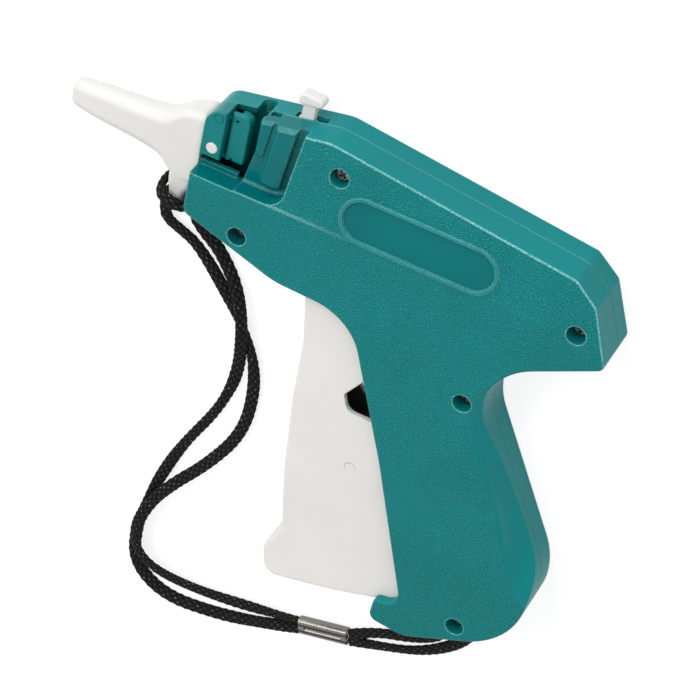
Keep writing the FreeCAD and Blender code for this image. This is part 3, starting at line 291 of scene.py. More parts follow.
highlit_front = add_node(tree, "ShaderNodeMapRange", {
    "Value": at.outputs[0], "From Min": CREASE_X[0] * MM, "From Max": CREASE_X[1] * MM, "To Min": 1.0,
    "To Max": 0.0})
near_crease = add_node(tree, "ShaderNodeMath", {0: near_crease, 1: highlit_front}, operation="MULTIPLY")
rim_out = add_node(tree, "ShaderNodeMapRange", {
    "Value": facing.outputs[2], "From Min": RIM_OUT[0], "From Max": RIM_OUT[1]})
rim_in = add_node(tree, "ShaderNodeMapRange", {
    "Value": facing.outputs[2], "From Min": RIM_IN[0], "From Max": RIM_IN[1], "To Min": 1.0,
    "To Max": 0.0})
rim_lit = add_node(tree, "ShaderNodeVectorMath", {0: place.outputs["Normal"], 1: RIM_SIDE},
                   operation="DOT_PRODUCT")
rim_lit = add_node(tree, "ShaderNodeMapRange", {
    "Value": rim_lit.outputs["Value"], "From Min": RIM_FACING[0], "From Max": RIM_FACING[1]})
rim = add_node(tree, "ShaderNodeMath", {0: rim_out, 1: rim_in}, operation="MULTIPLY")
rim = add_node(tree, "ShaderNodeMath", {0: rim, 1: rim_lit}, operation="MULTIPLY")
above_grip = add_node(tree, "ShaderNodeMapRange", {
    "Value": at.outputs[1], "From Min": RIM_Y[0] * MM, "From Max": RIM_Y[1] * MM})
rim = add_node(tree, "ShaderNodeMath", {0: rim, 1: above_grip}, operation="MULTIPLY")
crest = add_node(tree, "ShaderNodeMath", {0: near_edge, 1: near_crease}, operation="MAXIMUM")
crest = add_node(tree, "ShaderNodeMath", {0: crest, 1: rim}, operation="MAXIMUM")

# Colour: pale specks painted as glints on the grained cheeks, more of them on the highlit edges, and painted
# shade on the recessed label pad and in the head's pocket.
SPECK_FROM = (0.57, 0.40)   # spark level at which a speck starts, on a cheek and on a highlit edge
SPECK_SOFT = 0.10        # rise of that level to a full speck
SPECK_MOST = 0.62        # share of its own colour in a full speck
POCKET_X = (15.0, 18.0)  # mm along the casing, over which the pocket ends
POCKET_DEPTH = (0.3, 0.8)   # mm under the cheek, over which it starts
HALF_SOFT = 1.0          # mm above the parting line, over which it starts
speck_from = add_node(tree, "ShaderNodeMapRange", {
    "Value": crest, "To Min": SPECK_FROM[0], "To Max": SPECK_FROM[1]})
# Pale specks painted as glints of the grain.
glint_specks = add_node(tree, "ShaderNodeMath", {0: spark.outputs["Fac"], 1: speck_from}, operation="SUBTRACT")
glint_specks = add_node(tree, "ShaderNodeMapRange", {
    "Value": glint_specks, "From Max": SPECK_SOFT, "To Max": SPECK_MOST})
cheek = add_node(tree, "ShaderNodeMix", {0: glint_specks, 6: CHEEK_TEAL, 7: GLINT_SPECK_TEAL}, data_type="RGBA")
in_head = add_node(tree, "ShaderNodeMapRange", {
    "Value": at.outputs[0], "From Min": POCKET_X[0] * MM, "From Max": POCKET_X[1] * MM, "To Min": 1.0,
    "To Max": 0.0})
below_cheek = add_node(tree, "ShaderNodeMapRange", {
    "Value": sunk, "From Min": POCKET_DEPTH[0] * MM, "From Max": POCKET_DEPTH[1] * MM})
left_half = add_node(tree, "ShaderNodeMapRange", {
    "Value": at.outputs[2], "From Min": PARTING_Z * MM, "From Max": (PARTING_Z + HALF_SOFT) * MM})
in_pocket = add_node(tree, "ShaderNodeMath", {0: in_head, 1: below_cheek}, operation="MULTIPLY")
in_pocket = add_node(tree, "ShaderNodeMath", {0: in_pocket, 1: left_half}, operation="MULTIPLY")
# Painted shade: the pad and the pocket get a darker teal.
recess_shade = add_node(tree, "ShaderNodeMath", {0: in_pad, 1: in_pocket}, operation="MAXIMUM")
bands = add_node(tree, "ShaderNodeMix", {0: recess_shade, 6: POLISHED_TEAL, 7: RECESS_SHADE_TEAL}, data_type="RGBA")
shade = add_node(tree, "ShaderNodeMix", {0: grained, 6: bands.outputs[2], 7: cheek.outputs[2]},
                 data_type="RGBA")

# Over it the painted highlights on the edges, stronger by the cheek than down the sides, and the parting
# line, which catches the light where it faces up; a slow tint and painted shade in the grain's valleys go
# over all.
HIGHLIGHT_DEPTH = (1.0, 2.0)  # mm under the cheek, over which the painted highlight gets weaker
HIGHLIGHT_SHARE = (0.75, 0.2)    # its strength above and below
HIGHLIGHT_SPARK = (0.42, 0.60)   # spark level, over which the painted highlight starts
HIGHLIGHT_LEAST = 0.18        # painted highlight left between the grains
PAD_RIM_HIGHLIGHT = 0.45          # painted highlight left on the label pad's rim
FACES_TOP = (0.6, 0.9)   # how far the line faces up, over which it catches the light
FLOW_SPAN = (0.3, 0.7)   # levels of a noise from its low to its high marks
FLOW_TINT = (0.93, 1.05)    # brightness at those marks
VALLEY_SHADE = 0.16      # painted shade: how much darker a valley of the grain is
handling_and_highlight = add_node(tree, "ShaderNodeMapRange", {
    "Value": sunk, "From Min": HIGHLIGHT_DEPTH[0] * MM, "From Max": HIGHLIGHT_DEPTH[1] * MM,
    "To Min": HIGHLIGHT_SHARE[0], "To Max": HIGHLIGHT_SHARE[1]})
highlight_grain = add_node(tree, "ShaderNodeMapRange", {
    "Value": spark.outputs["Fac"], "From Min": HIGHLIGHT_SPARK[0], "From Max": HIGHLIGHT_SPARK[1],
    "To Min": HIGHLIGHT_LEAST})
handling_and_highlight = add_node(tree, "ShaderNodeMath", {0: handling_and_highlight, 1: highlight_grain}, operation="MULTIPLY")
pad_rim_highlight = add_node(tree, "ShaderNodeMapRange", {"Value": off_pad, "To Min": PAD_RIM_HIGHLIGHT})
handling_and_highlight = add_node(tree, "ShaderNodeMath", {0: handling_and_highlight, 1: pad_rim_highlight}, operation="MULTIPLY")
edge_highlight = add_node(tree, "ShaderNodeMath", {0: crest, 1: handling_and_highlight}, operation="MULTIPLY")
# Painted highlight: the edges, the crease and the rim turn pale teal.
shade = add_node(tree, "ShaderNodeMix", {0: edge_highlight, 6: shade.outputs[2], 7: HIGHLIGHT_TEAL},
                 data_type="RGBA")
faces_top = add_node(tree, "ShaderNodeMapRange", {
    "Value": facing.outputs[1], "From Min": FACES_TOP[0], "From Max": FACES_TOP[1]})
line_shade = add_node(tree, "ShaderNodeMix", {0: faces_top, 6: LINE_TEAL, 7: LIT_LINE_TEAL},
                      data_type="RGBA")
lined = add_node(tree, "ShaderNodeMix", {0: in_line, 6: shade.outputs[2], 7: line_shade.outputs[2]},
                 data_type="RGBA")
tint = add_node(tree, "ShaderNodeMapRange", {
    "Value": flow.outputs["Fac"], "From Min": FLOW_SPAN[0], "From Max": FLOW_SPAN[1],
    "To Min": FLOW_TINT[0], "To Max": FLOW_TINT[1]})
# Painted shade in the grain's valleys.
valley = add_node(tree, "ShaderNodeMath", {0: 1.0, 1: pebble}, operation="SUBTRACT")
valley = add_node(tree, "ShaderNodeMath", {0: valley, 1: grained}, operation="MULTIPLY")
tint = add_node(tree, "ShaderNodeMath", {0: valley, 1: -VALLEY_SHADE, 2: tint}, operation="MULTIPLY_ADD")
toned = add_node(tree, "ShaderNodeHueSaturation", {"Color": lined.outputs[2], "Value": tint})

# Gloss and relief: matt grain, glossy bands, and the smoothest polish in the head.
MATT = (0.44, 0.58)      # roughness of the grain at its low and high marks
HEAD_X = (14.0, 22.0)    # mm along the casing, over which the head's polish ends
GLOSSY = (0.12, 0.34)    # roughness of the polish in the head and behind it
FLOW_GLOSS = 0.12        # roughness that the flow marks add to it
LINE_DEPTH = 0.1         # mm
GRAIN_DEPTH = 0.24       # mm
matt = add_node(tree, "ShaderNodeMapRange", {
    "Value": spark.outputs["Fac"], "From Min": FLOW_SPAN[0], "From Max": FLOW_SPAN[1], "To Min": MATT[0],
    "To Max": MATT[1]})
smooth_head = add_node(tree, "ShaderNodeMapRange", {
    "Value": at.outputs[0], "From Min": HEAD_X[0] * MM, "From Max": HEAD_X[1] * MM, "To Min": GLOSSY[0],
    "To Max": GLOSSY[1]})
glossy = add_node(tree, "ShaderNodeMath", {0: flow.outputs["Fac"], 1: FLOW_GLOSS, 2: smooth_head},
                  operation="MULTIPLY_ADD")
gloss = add_node(tree, "ShaderNodeMix", {0: grained, 2: glossy, 3: matt}, data_type="FLOAT")
line_dip = add_node(tree, "ShaderNodeBump", {
    "Height": in_line, "Distance": LINE_DEPTH * MM, "Strength": 0.8, "Normal": rounded_edge}, invert=True)
bump = add_node(tree, "ShaderNodeBump", {
    "Height": grain_height, "Distance": GRAIN_DEPTH * MM, "Strength": 1.0, "Normal": line_dip})
plastic = add_node(tree, "ShaderNodeBsdfPrincipled", {
    "Base Color": toned, "Roughness": gloss, "Normal": bump, "Specular IOR Level": 0.14})
add_node(tree, "ShaderNodeOutputMaterial", {"Surface": plastic})
dress(grained_abs, "left_shell", "right_shell")

# ------------------------------------------------------------------ casing screws
# Five plated steel screws deep in their recesses, dull from the factory's oil and dust.
STAIN_MM = 1.1           # size of the oil stains
dull_steel, tree = new_material("zinc-plated steel, dulled")
place = add_node(tree, "ShaderNodeTexCoord")
stain = add_node(tree, "ShaderNodeTexNoise", {
    "Vector": place.outputs["Object"], "Scale": 1 / (STAIN_MM * MM), "Detail": 4.0, "Roughness": 0.6})
tone = add_node(tree, "ShaderNodeValToRGB", {"Fac": stain.outputs["Fac"]})
tone.color_ramp.elements[0].position = 0.35
tone.color_ramp.elements[0].color = linear("#5A5654")
tone.color_ramp.elements[1].position = 0.7
tone.color_ramp.elements[1].color = linear("#ADA9A6")
rough = add_node(tree, "ShaderNodeMapRange", {
    "Value": stain.outputs["Fac"], "To Min": 0.30, "To Max": 0.55})
bump = add_node(tree, "ShaderNodeBump", {
    "Height": stain.outputs["Fac"], "Distance": 0.02 * MM, "Strength": 0.5})
metal = add_node(tree, "ShaderNodeBsdfPrincipled", {
    "Base Color": tone.outputs["Color"], "Metallic": 1.0, "Roughness": rough, "Normal": bump})
add_node(tree, "ShaderNodeOutputMaterial", {"Surface": metal})
dress(dull_steel, "shell_screws")

# ------------------------------------------------------------------ nose block and lock lever
# Small ABS mouldings at the front of the head: the block that holds the needle seat, a white plug
# pressed into it, and the flap that locks the needle, hinged on a steel wire.

# Polished ABS: an even, glossy teal, slightly dulled by fingers.
NOSE_FLOW_MM = 6.0       # change of shade in so small a moulding
HANDLING_MM = 0.5        # size of the dulled marks
polished_abs, tree = new_material("polished ABS, teal")
place = add_node(tree, "ShaderNodeTexCoord")
flow = add_node(tree, "ShaderNodeTexNoise", {
    "Vector": place.outputs["Object"], "Scale": 1 / (NOSE_FLOW_MM * MM), "Detail": 3.0})
tone = add_node(tree, "ShaderNodeValToRGB", {"Fac": flow.outputs["Fac"]})
tone.color_ramp.elements[0].position = 0.3
tone.color_ramp.elements[0].color = linear("#047576")
tone.color_ramp.elements[1].position = 0.75
tone.color_ramp.elements[1].color = linear("#087E7E")
handling_and_highlight = add_node(tree, "ShaderNodeTexNoise", {
    "Vector": place.outputs["Object"], "Scale": 1 / (HANDLING_MM * MM), "Detail": 3.0})
rough = add_node(tree, "ShaderNodeMapRange", {
    "Value": handling_and_highlight.outputs["Fac"], "To Min": 0.20, "To Max": 0.36})
rounded_edge = add_node(tree, "ShaderNodeBevel", {"Radius": 0.35 * MM}, samples=6)
bump = add_node(tree, "ShaderNodeBump", {
    "Height": handling_and_highlight.outputs["Fac"], "Distance": 0.012 * MM, "Strength": 0.5, "Normal": rounded_edge})
plastic = add_node(tree, "ShaderNodeBsdfPrincipled", {
    "Base Color": tone.outputs["Color"], "Roughness": rough, "Normal": bump, "Specular IOR Level": 0.2})
add_node(tree, "ShaderNodeOutputMaterial", {"Surface": plastic})
dress(polished_abs, "nose_block", "lock_lever")

# Drawn wire and ground pins: bright, with fine scratches that run the way of the needle.
SCRATCH_MM = 0.2         # width of a scratch
SCRATCH_PULL = 0.15      # its width over its length
drawn_steel, tree = new_material("bright drawn steel")
place = add_node(tree, "ShaderNodeTexCoord")
stretched = add_node(tree, "ShaderNodeMapping", {
    "Vector": place.outputs["Object"], "Scale": (SCRATCH_PULL, 1.0, 1.0)})
scratch = add_node(tree, "ShaderNodeTexNoise", {
    "Vector": stretched, "Scale": 1 / (SCRATCH_MM * MM), "Detail": 3.0})
tone = add_node(tree, "ShaderNodeValToRGB", {"Fac": scratch.outputs["Fac"]})
tone.color_ramp.elements[0].position = 0.3
tone.color_ramp.elements[0].color = linear("#8F8E8B")
tone.color_ramp.elements[1].position = 0.7
tone.color_ramp.elements[1].color = linear("#C9C8C4")
rough = add_node(tree, "ShaderNodeMapRange", {
    "Value": scratch.outputs["Fac"], "To Min": 0.16, "To Max": 0.34})
bump = add_node(tree, "ShaderNodeBump", {
    "Height": scratch.outputs["Fac"], "Distance": 0.01 * MM, "Strength": 0.4})
metal = add_node(tree, "ShaderNodeBsdfPrincipled", {
    "Base Color": tone.outputs["Color"], "Metallic": 1.0, "Roughness": rough, "Normal": bump})
add_node(tree, "ShaderNodeOutputMaterial", {"Surface": metal})
dress(drawn_steel, "lock_lever_pin")

# ------------------------------------------------------------------ needle and hub
# A slotted steel tube with a slant point, moulded into a black acetal hub.
dress(drawn_steel, "needle")

# Moulded acetal: near black, with a soft waxy sheen.
SHEEN_MM = 2.5           # size of the marks in that sheen
black_acetal, tree = new_material("moulded acetal, black")
place = add_node(tree, "ShaderNodeTexCoord")
sheen = add_node(tree, "ShaderNodeTexNoise", {
    "Vector": place.outputs["Object"], "Scale": 1 / (SHEEN_MM * MM), "Detail": 4.0})
tone = add_node(tree, "ShaderNodeValToRGB", {"Fac": sheen.outputs["Fac"]})
tone.color_ramp.elements[0].position = 0.3
tone.color_ramp.elements[0].color = linear("#020202")
tone.color_ramp.elements[1].position = 0.75
tone.color_ramp.elements[1].color = linear("#060606")
rough = add_node(tree, "ShaderNodeMapRange", {
    "Value": sheen.outputs["Fac"], "To Min": 0.30, "To Max": 0.46})
rounded_edge = add_node(tree, "ShaderNodeBevel", {"Radius": 0.3 * MM}, samples=4)
bump = add_node(tree, "ShaderNodeBump", {
    "Height": sheen.outputs["Fac"], "Distance": 0.02 * MM, "Strength": 0.4, "Normal": rounded_edge})
plastic = add_node(tree, "ShaderNodeBsdfPrincipled", {
    "Base Color": tone.outputs["Color"], "Roughness": rough, "Normal": bump, "Specular IOR Level": 0.1})
add_node(tree, "ShaderNodeOutputMaterial", {"Surface": plastic})
dress(black_acetal, "needle_hub")

# ------------------------------------------------------------------ needle cap
# One moulding of off-white ABS that slips over the needle; satin, with a trace of flow in it.
CAP_FLOW_MM = 22.0       # slow change of shade through the moulding
SATIN_MM = 0.45          # grit of the satin mould
satin_abs, tree = new_material("satin ABS, off-white")
place = add_node(tree, "ShaderNodeTexCoord")
flow = add_node(tree, "ShaderNodeTexNoise", {
    "Vector": place.outputs["Object"], "Scale": 1 / (CAP_FLOW_MM * MM), "Detail": 3.0, "Roughness": 0.55})
tone = add_node(tree, "ShaderNodeValToRGB", {"Fac": flow.outputs["Fac"]})
tone.color_ramp.elements[0].position = 0.3
tone.color_ramp.elements[0].color = linear("#DDDBD7")
tone.color_ramp.elements[1].position = 0.75
tone.color_ramp.elements[1].color = linear("#E2E0DC")
satin = add_node(tree, "ShaderNodeTexNoise", {
    "Vector": place.outputs["Object"], "Scale": 1 / (SATIN_MM * MM), "Detail": 3.0, "Roughness": 0.6})
rough = add_node(tree, "ShaderNodeMapRange", {
    "Value": satin.outputs["Fac"], "To Min": 0.34, "To Max": 0.5})
rounded_edge = add_node(tree, "ShaderNodeBevel", {"Radius": 0.6 * MM}, samples=6)
bump = add_node(tree, "ShaderNodeBump", {
    "Height": satin.outputs["Fac"], "Distance": 0.016 * MM, "Strength": 0.5, "Normal": rounded_edge})
plastic = add_node(tree, "ShaderNodeBsdfPrincipled", {
    "Base Color": tone.outputs["Color"], "Roughness": rough, "Normal": bump, "Specular IOR Level": 0.4})
add_node(tree, "ShaderNodeOutputMaterial", {"Surface": plastic})
dress(satin_abs, "needle_cap", "nose_pin")

# ------------------------------------------------------------------ trigger
# A hollow lever of the same off-white ABS. The mould's ejector pin has left a faint ring on its side,
# and the floor of the hollow, which shows through the window, is painted dark grey.
FLOOR_Z = 5.4            # mm, height of that floor
DARK_FLOOR_EDGE = (0.3, 0.5)    # mm above the floor, over which the dark grey ends
FACES_UP = 0.8           # least height of the normal on the floor
DARK_FLOOR_GREY = linear("#444442")
EJECTOR_AT = (56.4, -91.9)  # mm
EJECTOR_R = 2.1          # mm
RING_EDGE = (-0.35, 0.15)   # mm from that radius, over which the ring steps up
TRIGGER_FLOW_MM = 26.0   # slow change of shade through the moulding
trigger_abs, tree = new_material("satin ABS, off-white, with ejector mark")
place = add_node(tree, "ShaderNodeTexCoord")
at = add_node(tree, "ShaderNodeSeparateXYZ", {0: place.outputs["Object"]})
ring_x = add_node(tree, "ShaderNodeMath", {0: at.outputs[0], 1: EJECTOR_AT[0] * MM}, operation="SUBTRACT")
ring_y = add_node(tree, "ShaderNodeMath", {0: at.outputs[1], 1: EJECTOR_AT[1] * MM}, operation="SUBTRACT")
ring = add_node(tree, "ShaderNodeCombineXYZ", {0: ring_x, 1: ring_y})
ring = add_node(tree, "ShaderNodeVectorMath", {0: ring}, operation="LENGTH")
mark = add_node(tree, "ShaderNodeMapRange", {
    "Value": ring.outputs["Value"], "From Min": (EJECTOR_R + RING_EDGE[0]) * MM,
    "From Max": (EJECTOR_R + RING_EDGE[1]) * MM}, interpolation_type="SMOOTHSTEP")
facing = add_node(tree, "ShaderNodeSeparateXYZ", {0: place.outputs["Normal"]})
on_floor = add_node(tree, "ShaderNodeMapRange", {
    "Value": at.outputs[2], "From Min": (FLOOR_Z + DARK_FLOOR_EDGE[0]) * MM,
    "From Max": (FLOOR_Z + DARK_FLOOR_EDGE[1]) * MM, "To Min": 1.0, "To Max": 0.0})
faces_up = add_node(tree, "ShaderNodeMath", {0: facing.outputs[2], 1: FACES_UP}, operation="GREATER_THAN")
dark_floor = add_node(tree, "ShaderNodeMath", {0: on_floor, 1: faces_up}, operation="MULTIPLY")
flow = add_node(tree, "ShaderNodeTexNoise", {
    "Vector": place.outputs["Object"], "Scale": 1 / (TRIGGER_FLOW_MM * MM), "Detail": 3.0,
    "Roughness": 0.55})
tone = add_node(tree, "ShaderNodeValToRGB", {"Fac": flow.outputs["Fac"]})
tone.color_ramp.elements[0].position = 0.3
tone.color_ramp.elements[0].color = linear("#E5E2DE")
tone.color_ramp.elements[1].position = 0.75
tone.color_ramp.elements[1].color = linear("#ECE9E5")
satin = add_node(tree, "ShaderNodeTexNoise", {
    "Vector": place.outputs["Object"], "Scale": 1 / (SATIN_MM * MM), "Detail": 3.0, "Roughness": 0.6})
rough = add_node(tree, "ShaderNodeMapRange", {
    "Value": satin.outputs["Fac"], "To Min": 0.36, "To Max": 0.52})
rounded_edge = add_node(tree, "ShaderNodeBevel", {"Radius": 0.8 * MM}, samples=6)
ring_bump = add_node(tree, "ShaderNodeBump", {
    "Height": mark, "Distance": 0.35 * MM, "Strength": 0.9, "Normal": rounded_edge})
bump = add_node(tree, "ShaderNodeBump", {
    "Height": satin.outputs["Fac"], "Distance": 0.016 * MM, "Strength": 0.5, "Normal": ring_bump})
# The floor of the hollow is painted dark grey.
shade = add_node(tree, "ShaderNodeMix", {0: dark_floor, 6: tone.outputs["Color"], 7: DARK_FLOOR_GREY},
                 data_type="RGBA")
plastic = add_node(tree, "ShaderNodeBsdfPrincipled", {
    "Base Color": shade.outputs[2], "Roughness": rough, "Normal": bump, "Specular IOR Level": 0.4})
add_node(tree, "ShaderNodeOutputMaterial", {"Surface": plastic})
dress(trigger_abs, "trigger")
dress(drawn_steel, "trigger_pin", "trigger_drive_pin")

# ------------------------------------------------------------------ drive lever and pusher
# The black acetal lever inside the grip swings on a steel pin and drives a natural acetal carriage,
# whose steel rod pushes the fastener through the needle; a coil spring sends it back.
dress(black_acetal, "drive_lever")

# Natural acetal: milky white, faintly clouded.
CLOUD_MM = 3.0           # size of the clouds
natural_acetal, tree = new_material("moulded acetal, natural")
place = add_node(tree, "ShaderNodeTexCoord")
cloud = add_node(tree, "ShaderNodeTexNoise", {
    "Vector": place.outputs["Object"], "Scale": 1 / (CLOUD_MM * MM), "Detail": 4.0})
tone = add_node(tree, "ShaderNodeValToRGB", {"Fac": cloud.outputs["Fac"]})
tone.color_ramp.elements[0].position = 0.3
tone.color_ramp.elements[0].color = linear("#D5D2C7")
tone.color_ramp.elements[1].position = 0.75
tone.color_ramp.elements[1].color = linear("#E6E3DA")
rough = add_node(tree, "ShaderNodeMapRange", {
    "Value": cloud.outputs["Fac"], "To Min": 0.28, "To Max": 0.45})
bump = add_node(tree, "ShaderNodeBump", {
    "Height": cloud.outputs["Fac"], "Distance": 0.02 * MM, "Strength": 0.4})
plastic = add_node(tree, "ShaderNodeBsdfPrincipled", {
    "Base Color": tone.outputs["Color"], "Roughness": rough, "Normal": bump, "Specular IOR Level": 0.4})
add_node(tree, "ShaderNodeOutputMaterial", {"Surface": plastic})
dress(natural_acetal, "pusher_slide", "rod_guide")
dress(drawn_steel, "drive_lever_pin", "pusher_rod")


def pressed_coil(node):
    """The node's coil as a copy of its mesh in bright drawn steel, in its place, with the CAD node hidden."""
    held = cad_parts[node]
    coil = bpy.data.objects.new(node + "_coil", held.data.copy())
    bpy.context.collection.objects.link(coil)
    coil.matrix_world = held.matrix_world.copy()
    coil.data.materials.clear()
    coil.data.materials.append(drawn_steel)
    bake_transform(coil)
    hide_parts(node)


pressed_coil("return_spring")

# ------------------------------------------------------------------ feed wheel and pawl
# A toothed acetal wheel draws the clip of fasteners down the groove; the pawl turns it at each squeeze.
dress(natural_acetal, "feed_wheel")
dress(black_acetal, "feed_pawl")
dress(drawn_steel, "feed_axle", "feed_pawl_pin")

# ------------------------------------------------------------------ release knob
# The thumb button on top is a small off-white moulding, sprung forwards by a fine steel coil.
dress(satin_abs, "release_knob")
pressed_coil("release_spring")

# ------------------------------------------------------------------ wrist strap
# A flat tubular braid of black polyester, hitched round the foot of the needle cap and crimped
# together in the sleeve, from which its end loop goes up into the butt of the grip.

# Points in mm that control each cord's route: the two long strands from the cap's foot to the sleeve,
# and the loop from the sleeve up into the butt and back.
STRAND_A = [
    (-19.6, -23.6, 3.4), (-27.8, -24.2, 3.4), (-29.7, -28.4, 3.4), (-30.0, -33.9, 2.6), (-29.0, -38.6, 1.9),
    (-23.4, -41.0, 1.7), (-17.4, -43.4, 1.7), (-9.0, -51.4, 1.7), (1.2, -63.9, 1.7), (9.6, -76.2, 1.7),
    (13.4, -92.0, 1.7), (12.2, -112.0, 1.7), (2.0, -131.6, 1.9), (-9.4, -146.4, 4.2), (-16.4, -160.4, 5.1),
    (-19.0, -175.4, 5.0), (-11.6, -186.6, 3.4), (6.0, -189.0, 1.8), (30.0, -185.0, 1.8), (47.7, -180.4, 2.3)]
STRAND_B = [
    (-19.2, -20.4, 9.4), (-19.2, -19.6, 3.1), (-29.8, -17.8, 3.1), (-29.4, -20.6, 14.5), (-19.3, -23.0, 14.2),
    (-19.3, -25.4, 5.6), (-19.4, -28.8, 3.4), (-18.6, -33.6, 2.2), (-15.0, -37.6, 1.7), (-8.8, -42.0, 1.7),
    (-1.4, -51.4, 2.1), (3.9, -59.7, 4.9), (6.2, -71.4, 4.9), (6.2, -83.0, 2.4), (5.2, -94.0, 1.7),
    (1.2, -108.0, 1.7), (-8.6, -128.6, 1.7), (-15.2, -150.0, 1.7), (-19.4, -172.0, 1.7), (-17.6, -189.4, 1.7),
    (-4.0, -198.2, 1.7), (16.0, -195.6, 1.7), (34.0, -190.0, 1.9), (48.4, -183.5, 2.3)]
END_LOOP = [
    (66.9, -175.9, 2.4), (74.0, -170.8, 1.7), (88.0, -165.6, 1.7), (98.6, -158.0, 2.2), (100.6, -146.6, 5.0),
    (100.5, -135.6, 5.4), (100.6, -128.8, 5.4), (110.8, -128.6, 5.4), (110.9, -135.6, 5.4),
    (109.6, -147.0, 5.0), (105.0, -158.4, 2.2), (93.4, -169.2, 1.7), (79.6, -175.2, 1.7), (67.2, -178.8, 2.4)]
BRAID_W = 4.3            # mm, across the flat braid
BRAID_T = 2.5            # mm, through it
YARNS = 6                # yarns running each way round the braid
PICK_MM = 1.5            # length of one crossing along the cord
YARN_RISE = 0.42         # mm that a yarn stands out over the one it crosses
YARN_ROUND = 0.6         # shape of a yarn's back, lower is fuller
UNDER_YARN = 0.55        # part of its height that a yarn has where a crossing starts and ends
MEAN_RISE = 0.6          # part of the rise at which the braid has the size above
END_HEIGHT = 0.5         # yarn height at the closed ends
TABLE_GAP = 0.03         # mm that the yarns stay above the table
AROUND = 48              # points round the braid
STEP_MM = 0.22           # from one ring of points to the next


def spline_points(points_mm, step_mm):
    """Evenly spaced points, in metres, of the smooth line that the route's points control."""
    curve = bpy.data.curves.new("route", "CURVE")
    curve.dimensions = "3D"
    curve.resolution_u = 32
    spline = curve.splines.new("NURBS")
    spline.points.add(len(points_mm) - 1)
    for knot, (x, y, z) in zip(spline.points, points_mm):
        knot.co = (x * MM, y * MM, z * MM, 1.0)
    spline.order_u = 3
    spline.use_endpoint_u = True
    holder = bpy.data.objects.new("route", curve)
    mesh = bpy.data.meshes.new_from_object(holder)
    line = np.array([v.co for v in mesh.vertices])
    bpy.data.objects.remove(holder)
    bpy.data.curves.remove(curve)
    bpy.data.meshes.remove(mesh)
    run = np.concatenate([[0], np.cumsum(np.linalg.norm(np.diff(line, axis=0), axis=1))])
    at = np.linspace(0, run[-1], int(run[-1] / (step_mm * MM)))
    return np.stack([np.interp(at, run, line[:, k]) for k in range(3)], axis=1), at


def recalculate(piece):
    """Turns all faces of a closed piece outwards."""
    bpy.ops.object.select_all(action="DESELECT")
    bpy.context.view_layer.objects.active = piece
    piece.select_set(True)
    bpy.ops.object.mode_set(mode="EDIT")
    bpy.ops.mesh.select_all(action="SELECT")
    bpy.ops.mesh.normals_make_consistent(inside=False)
    bpy.ops.object.mode_set(mode="OBJECT")
    piece.select_set(False)


def braid(name, points_mm, flat_up, turns):
    """A flat braided tube along the route, pressed flat where it lies on the table.

    turns gives its slow twists as (size in degrees, wave in mm, start)."""
    line, at = spline_points(points_mm, STEP_MM)
    along = np.gradient(line, axis=0)
    along /= np.linalg.norm(along, axis=1)[:, None]
    normal = np.zeros_like(line)
    last = np.array(flat_up, float)
    for i, t in enumerate(along):
        last = last - t * last.dot(t)
        last /= np.linalg.norm(last)
        normal[i] = last
    twist = sum(math.radians(size) * np.sin(at / (wave * MM) * 2 * math.pi + start)
                for size, wave, start in turns)
    side = np.cross(along, normal)
    up = normal * np.cos(twist)[:, None] + side * np.sin(twist)[:, None]
    side = np.cross(along, up)
    angle = np.linspace(0, 2 * math.pi, AROUND, endpoint=False)
    around = angle / (2 * math.pi) * YARNS
    pick = at[:, None] / (PICK_MM * MM) / 2.0
    first = around[None, :] + pick
    second = around[None, :] - pick
    cross_first = np.sin(math.pi * (first % 1.0))
    cross_second = np.sin(math.pi * (second % 1.0))
    over = (np.floor(first) + np.floor(second)) % 2 < 0.5
    relief = np.where(over, cross_first ** YARN_ROUND * (UNDER_YARN + (1 - UNDER_YARN) * cross_second),
                      cross_second ** YARN_ROUND * (UNDER_YARN + (1 - UNDER_YARN) * cross_first))
    grow = (relief - MEAN_RISE) * YARN_RISE * MM
    across = (BRAID_W / 2 * MM + grow) * np.cos(angle)
    through = (BRAID_T / 2 * MM + grow) * np.sin(angle)
    places = line[:, None, :] + side[:, None, :] * across[..., None] + up[:, None, :] * through[..., None]
    places[..., 2] = np.maximum(places[..., 2], TABLE_GAP * MM)
    rings = len(line)
    verts = [tuple(p) for p in places.reshape(-1, 3)] + [tuple(line[0]), tuple(line[-1])]
    faces = []
    for i in range(rings - 1):
        for k in range(AROUND):
            after = (k + 1) % AROUND
            faces.append((i * AROUND + k, i * AROUND + after,
                          (i + 1) * AROUND + after, (i + 1) * AROUND + k))
    for k in range(AROUND):
        after = (k + 1) % AROUND
        faces.append((rings * AROUND, after, k))
        faces.append((rings * AROUND + 1, (rings - 1) * AROUND + k, (rings - 1) * AROUND + after))
    mesh = bpy.data.meshes.new(name)
    mesh.from_pydata(verts, [], faces)
    mesh.validate()
    piece = bpy.data.objects.new(name, mesh)
    bpy.context.collection.objects.link(piece)
    height = mesh.attributes.new("yarn_height", "FLOAT", "POINT")
    heights = np.concatenate([relief.reshape(-1), [END_HEIGHT, END_HEIGHT]])
    height.data.foreach_set("value", heights.astype(np.float32))
    mesh.shade_smooth()
    recalculate(piece)
    return piece, line


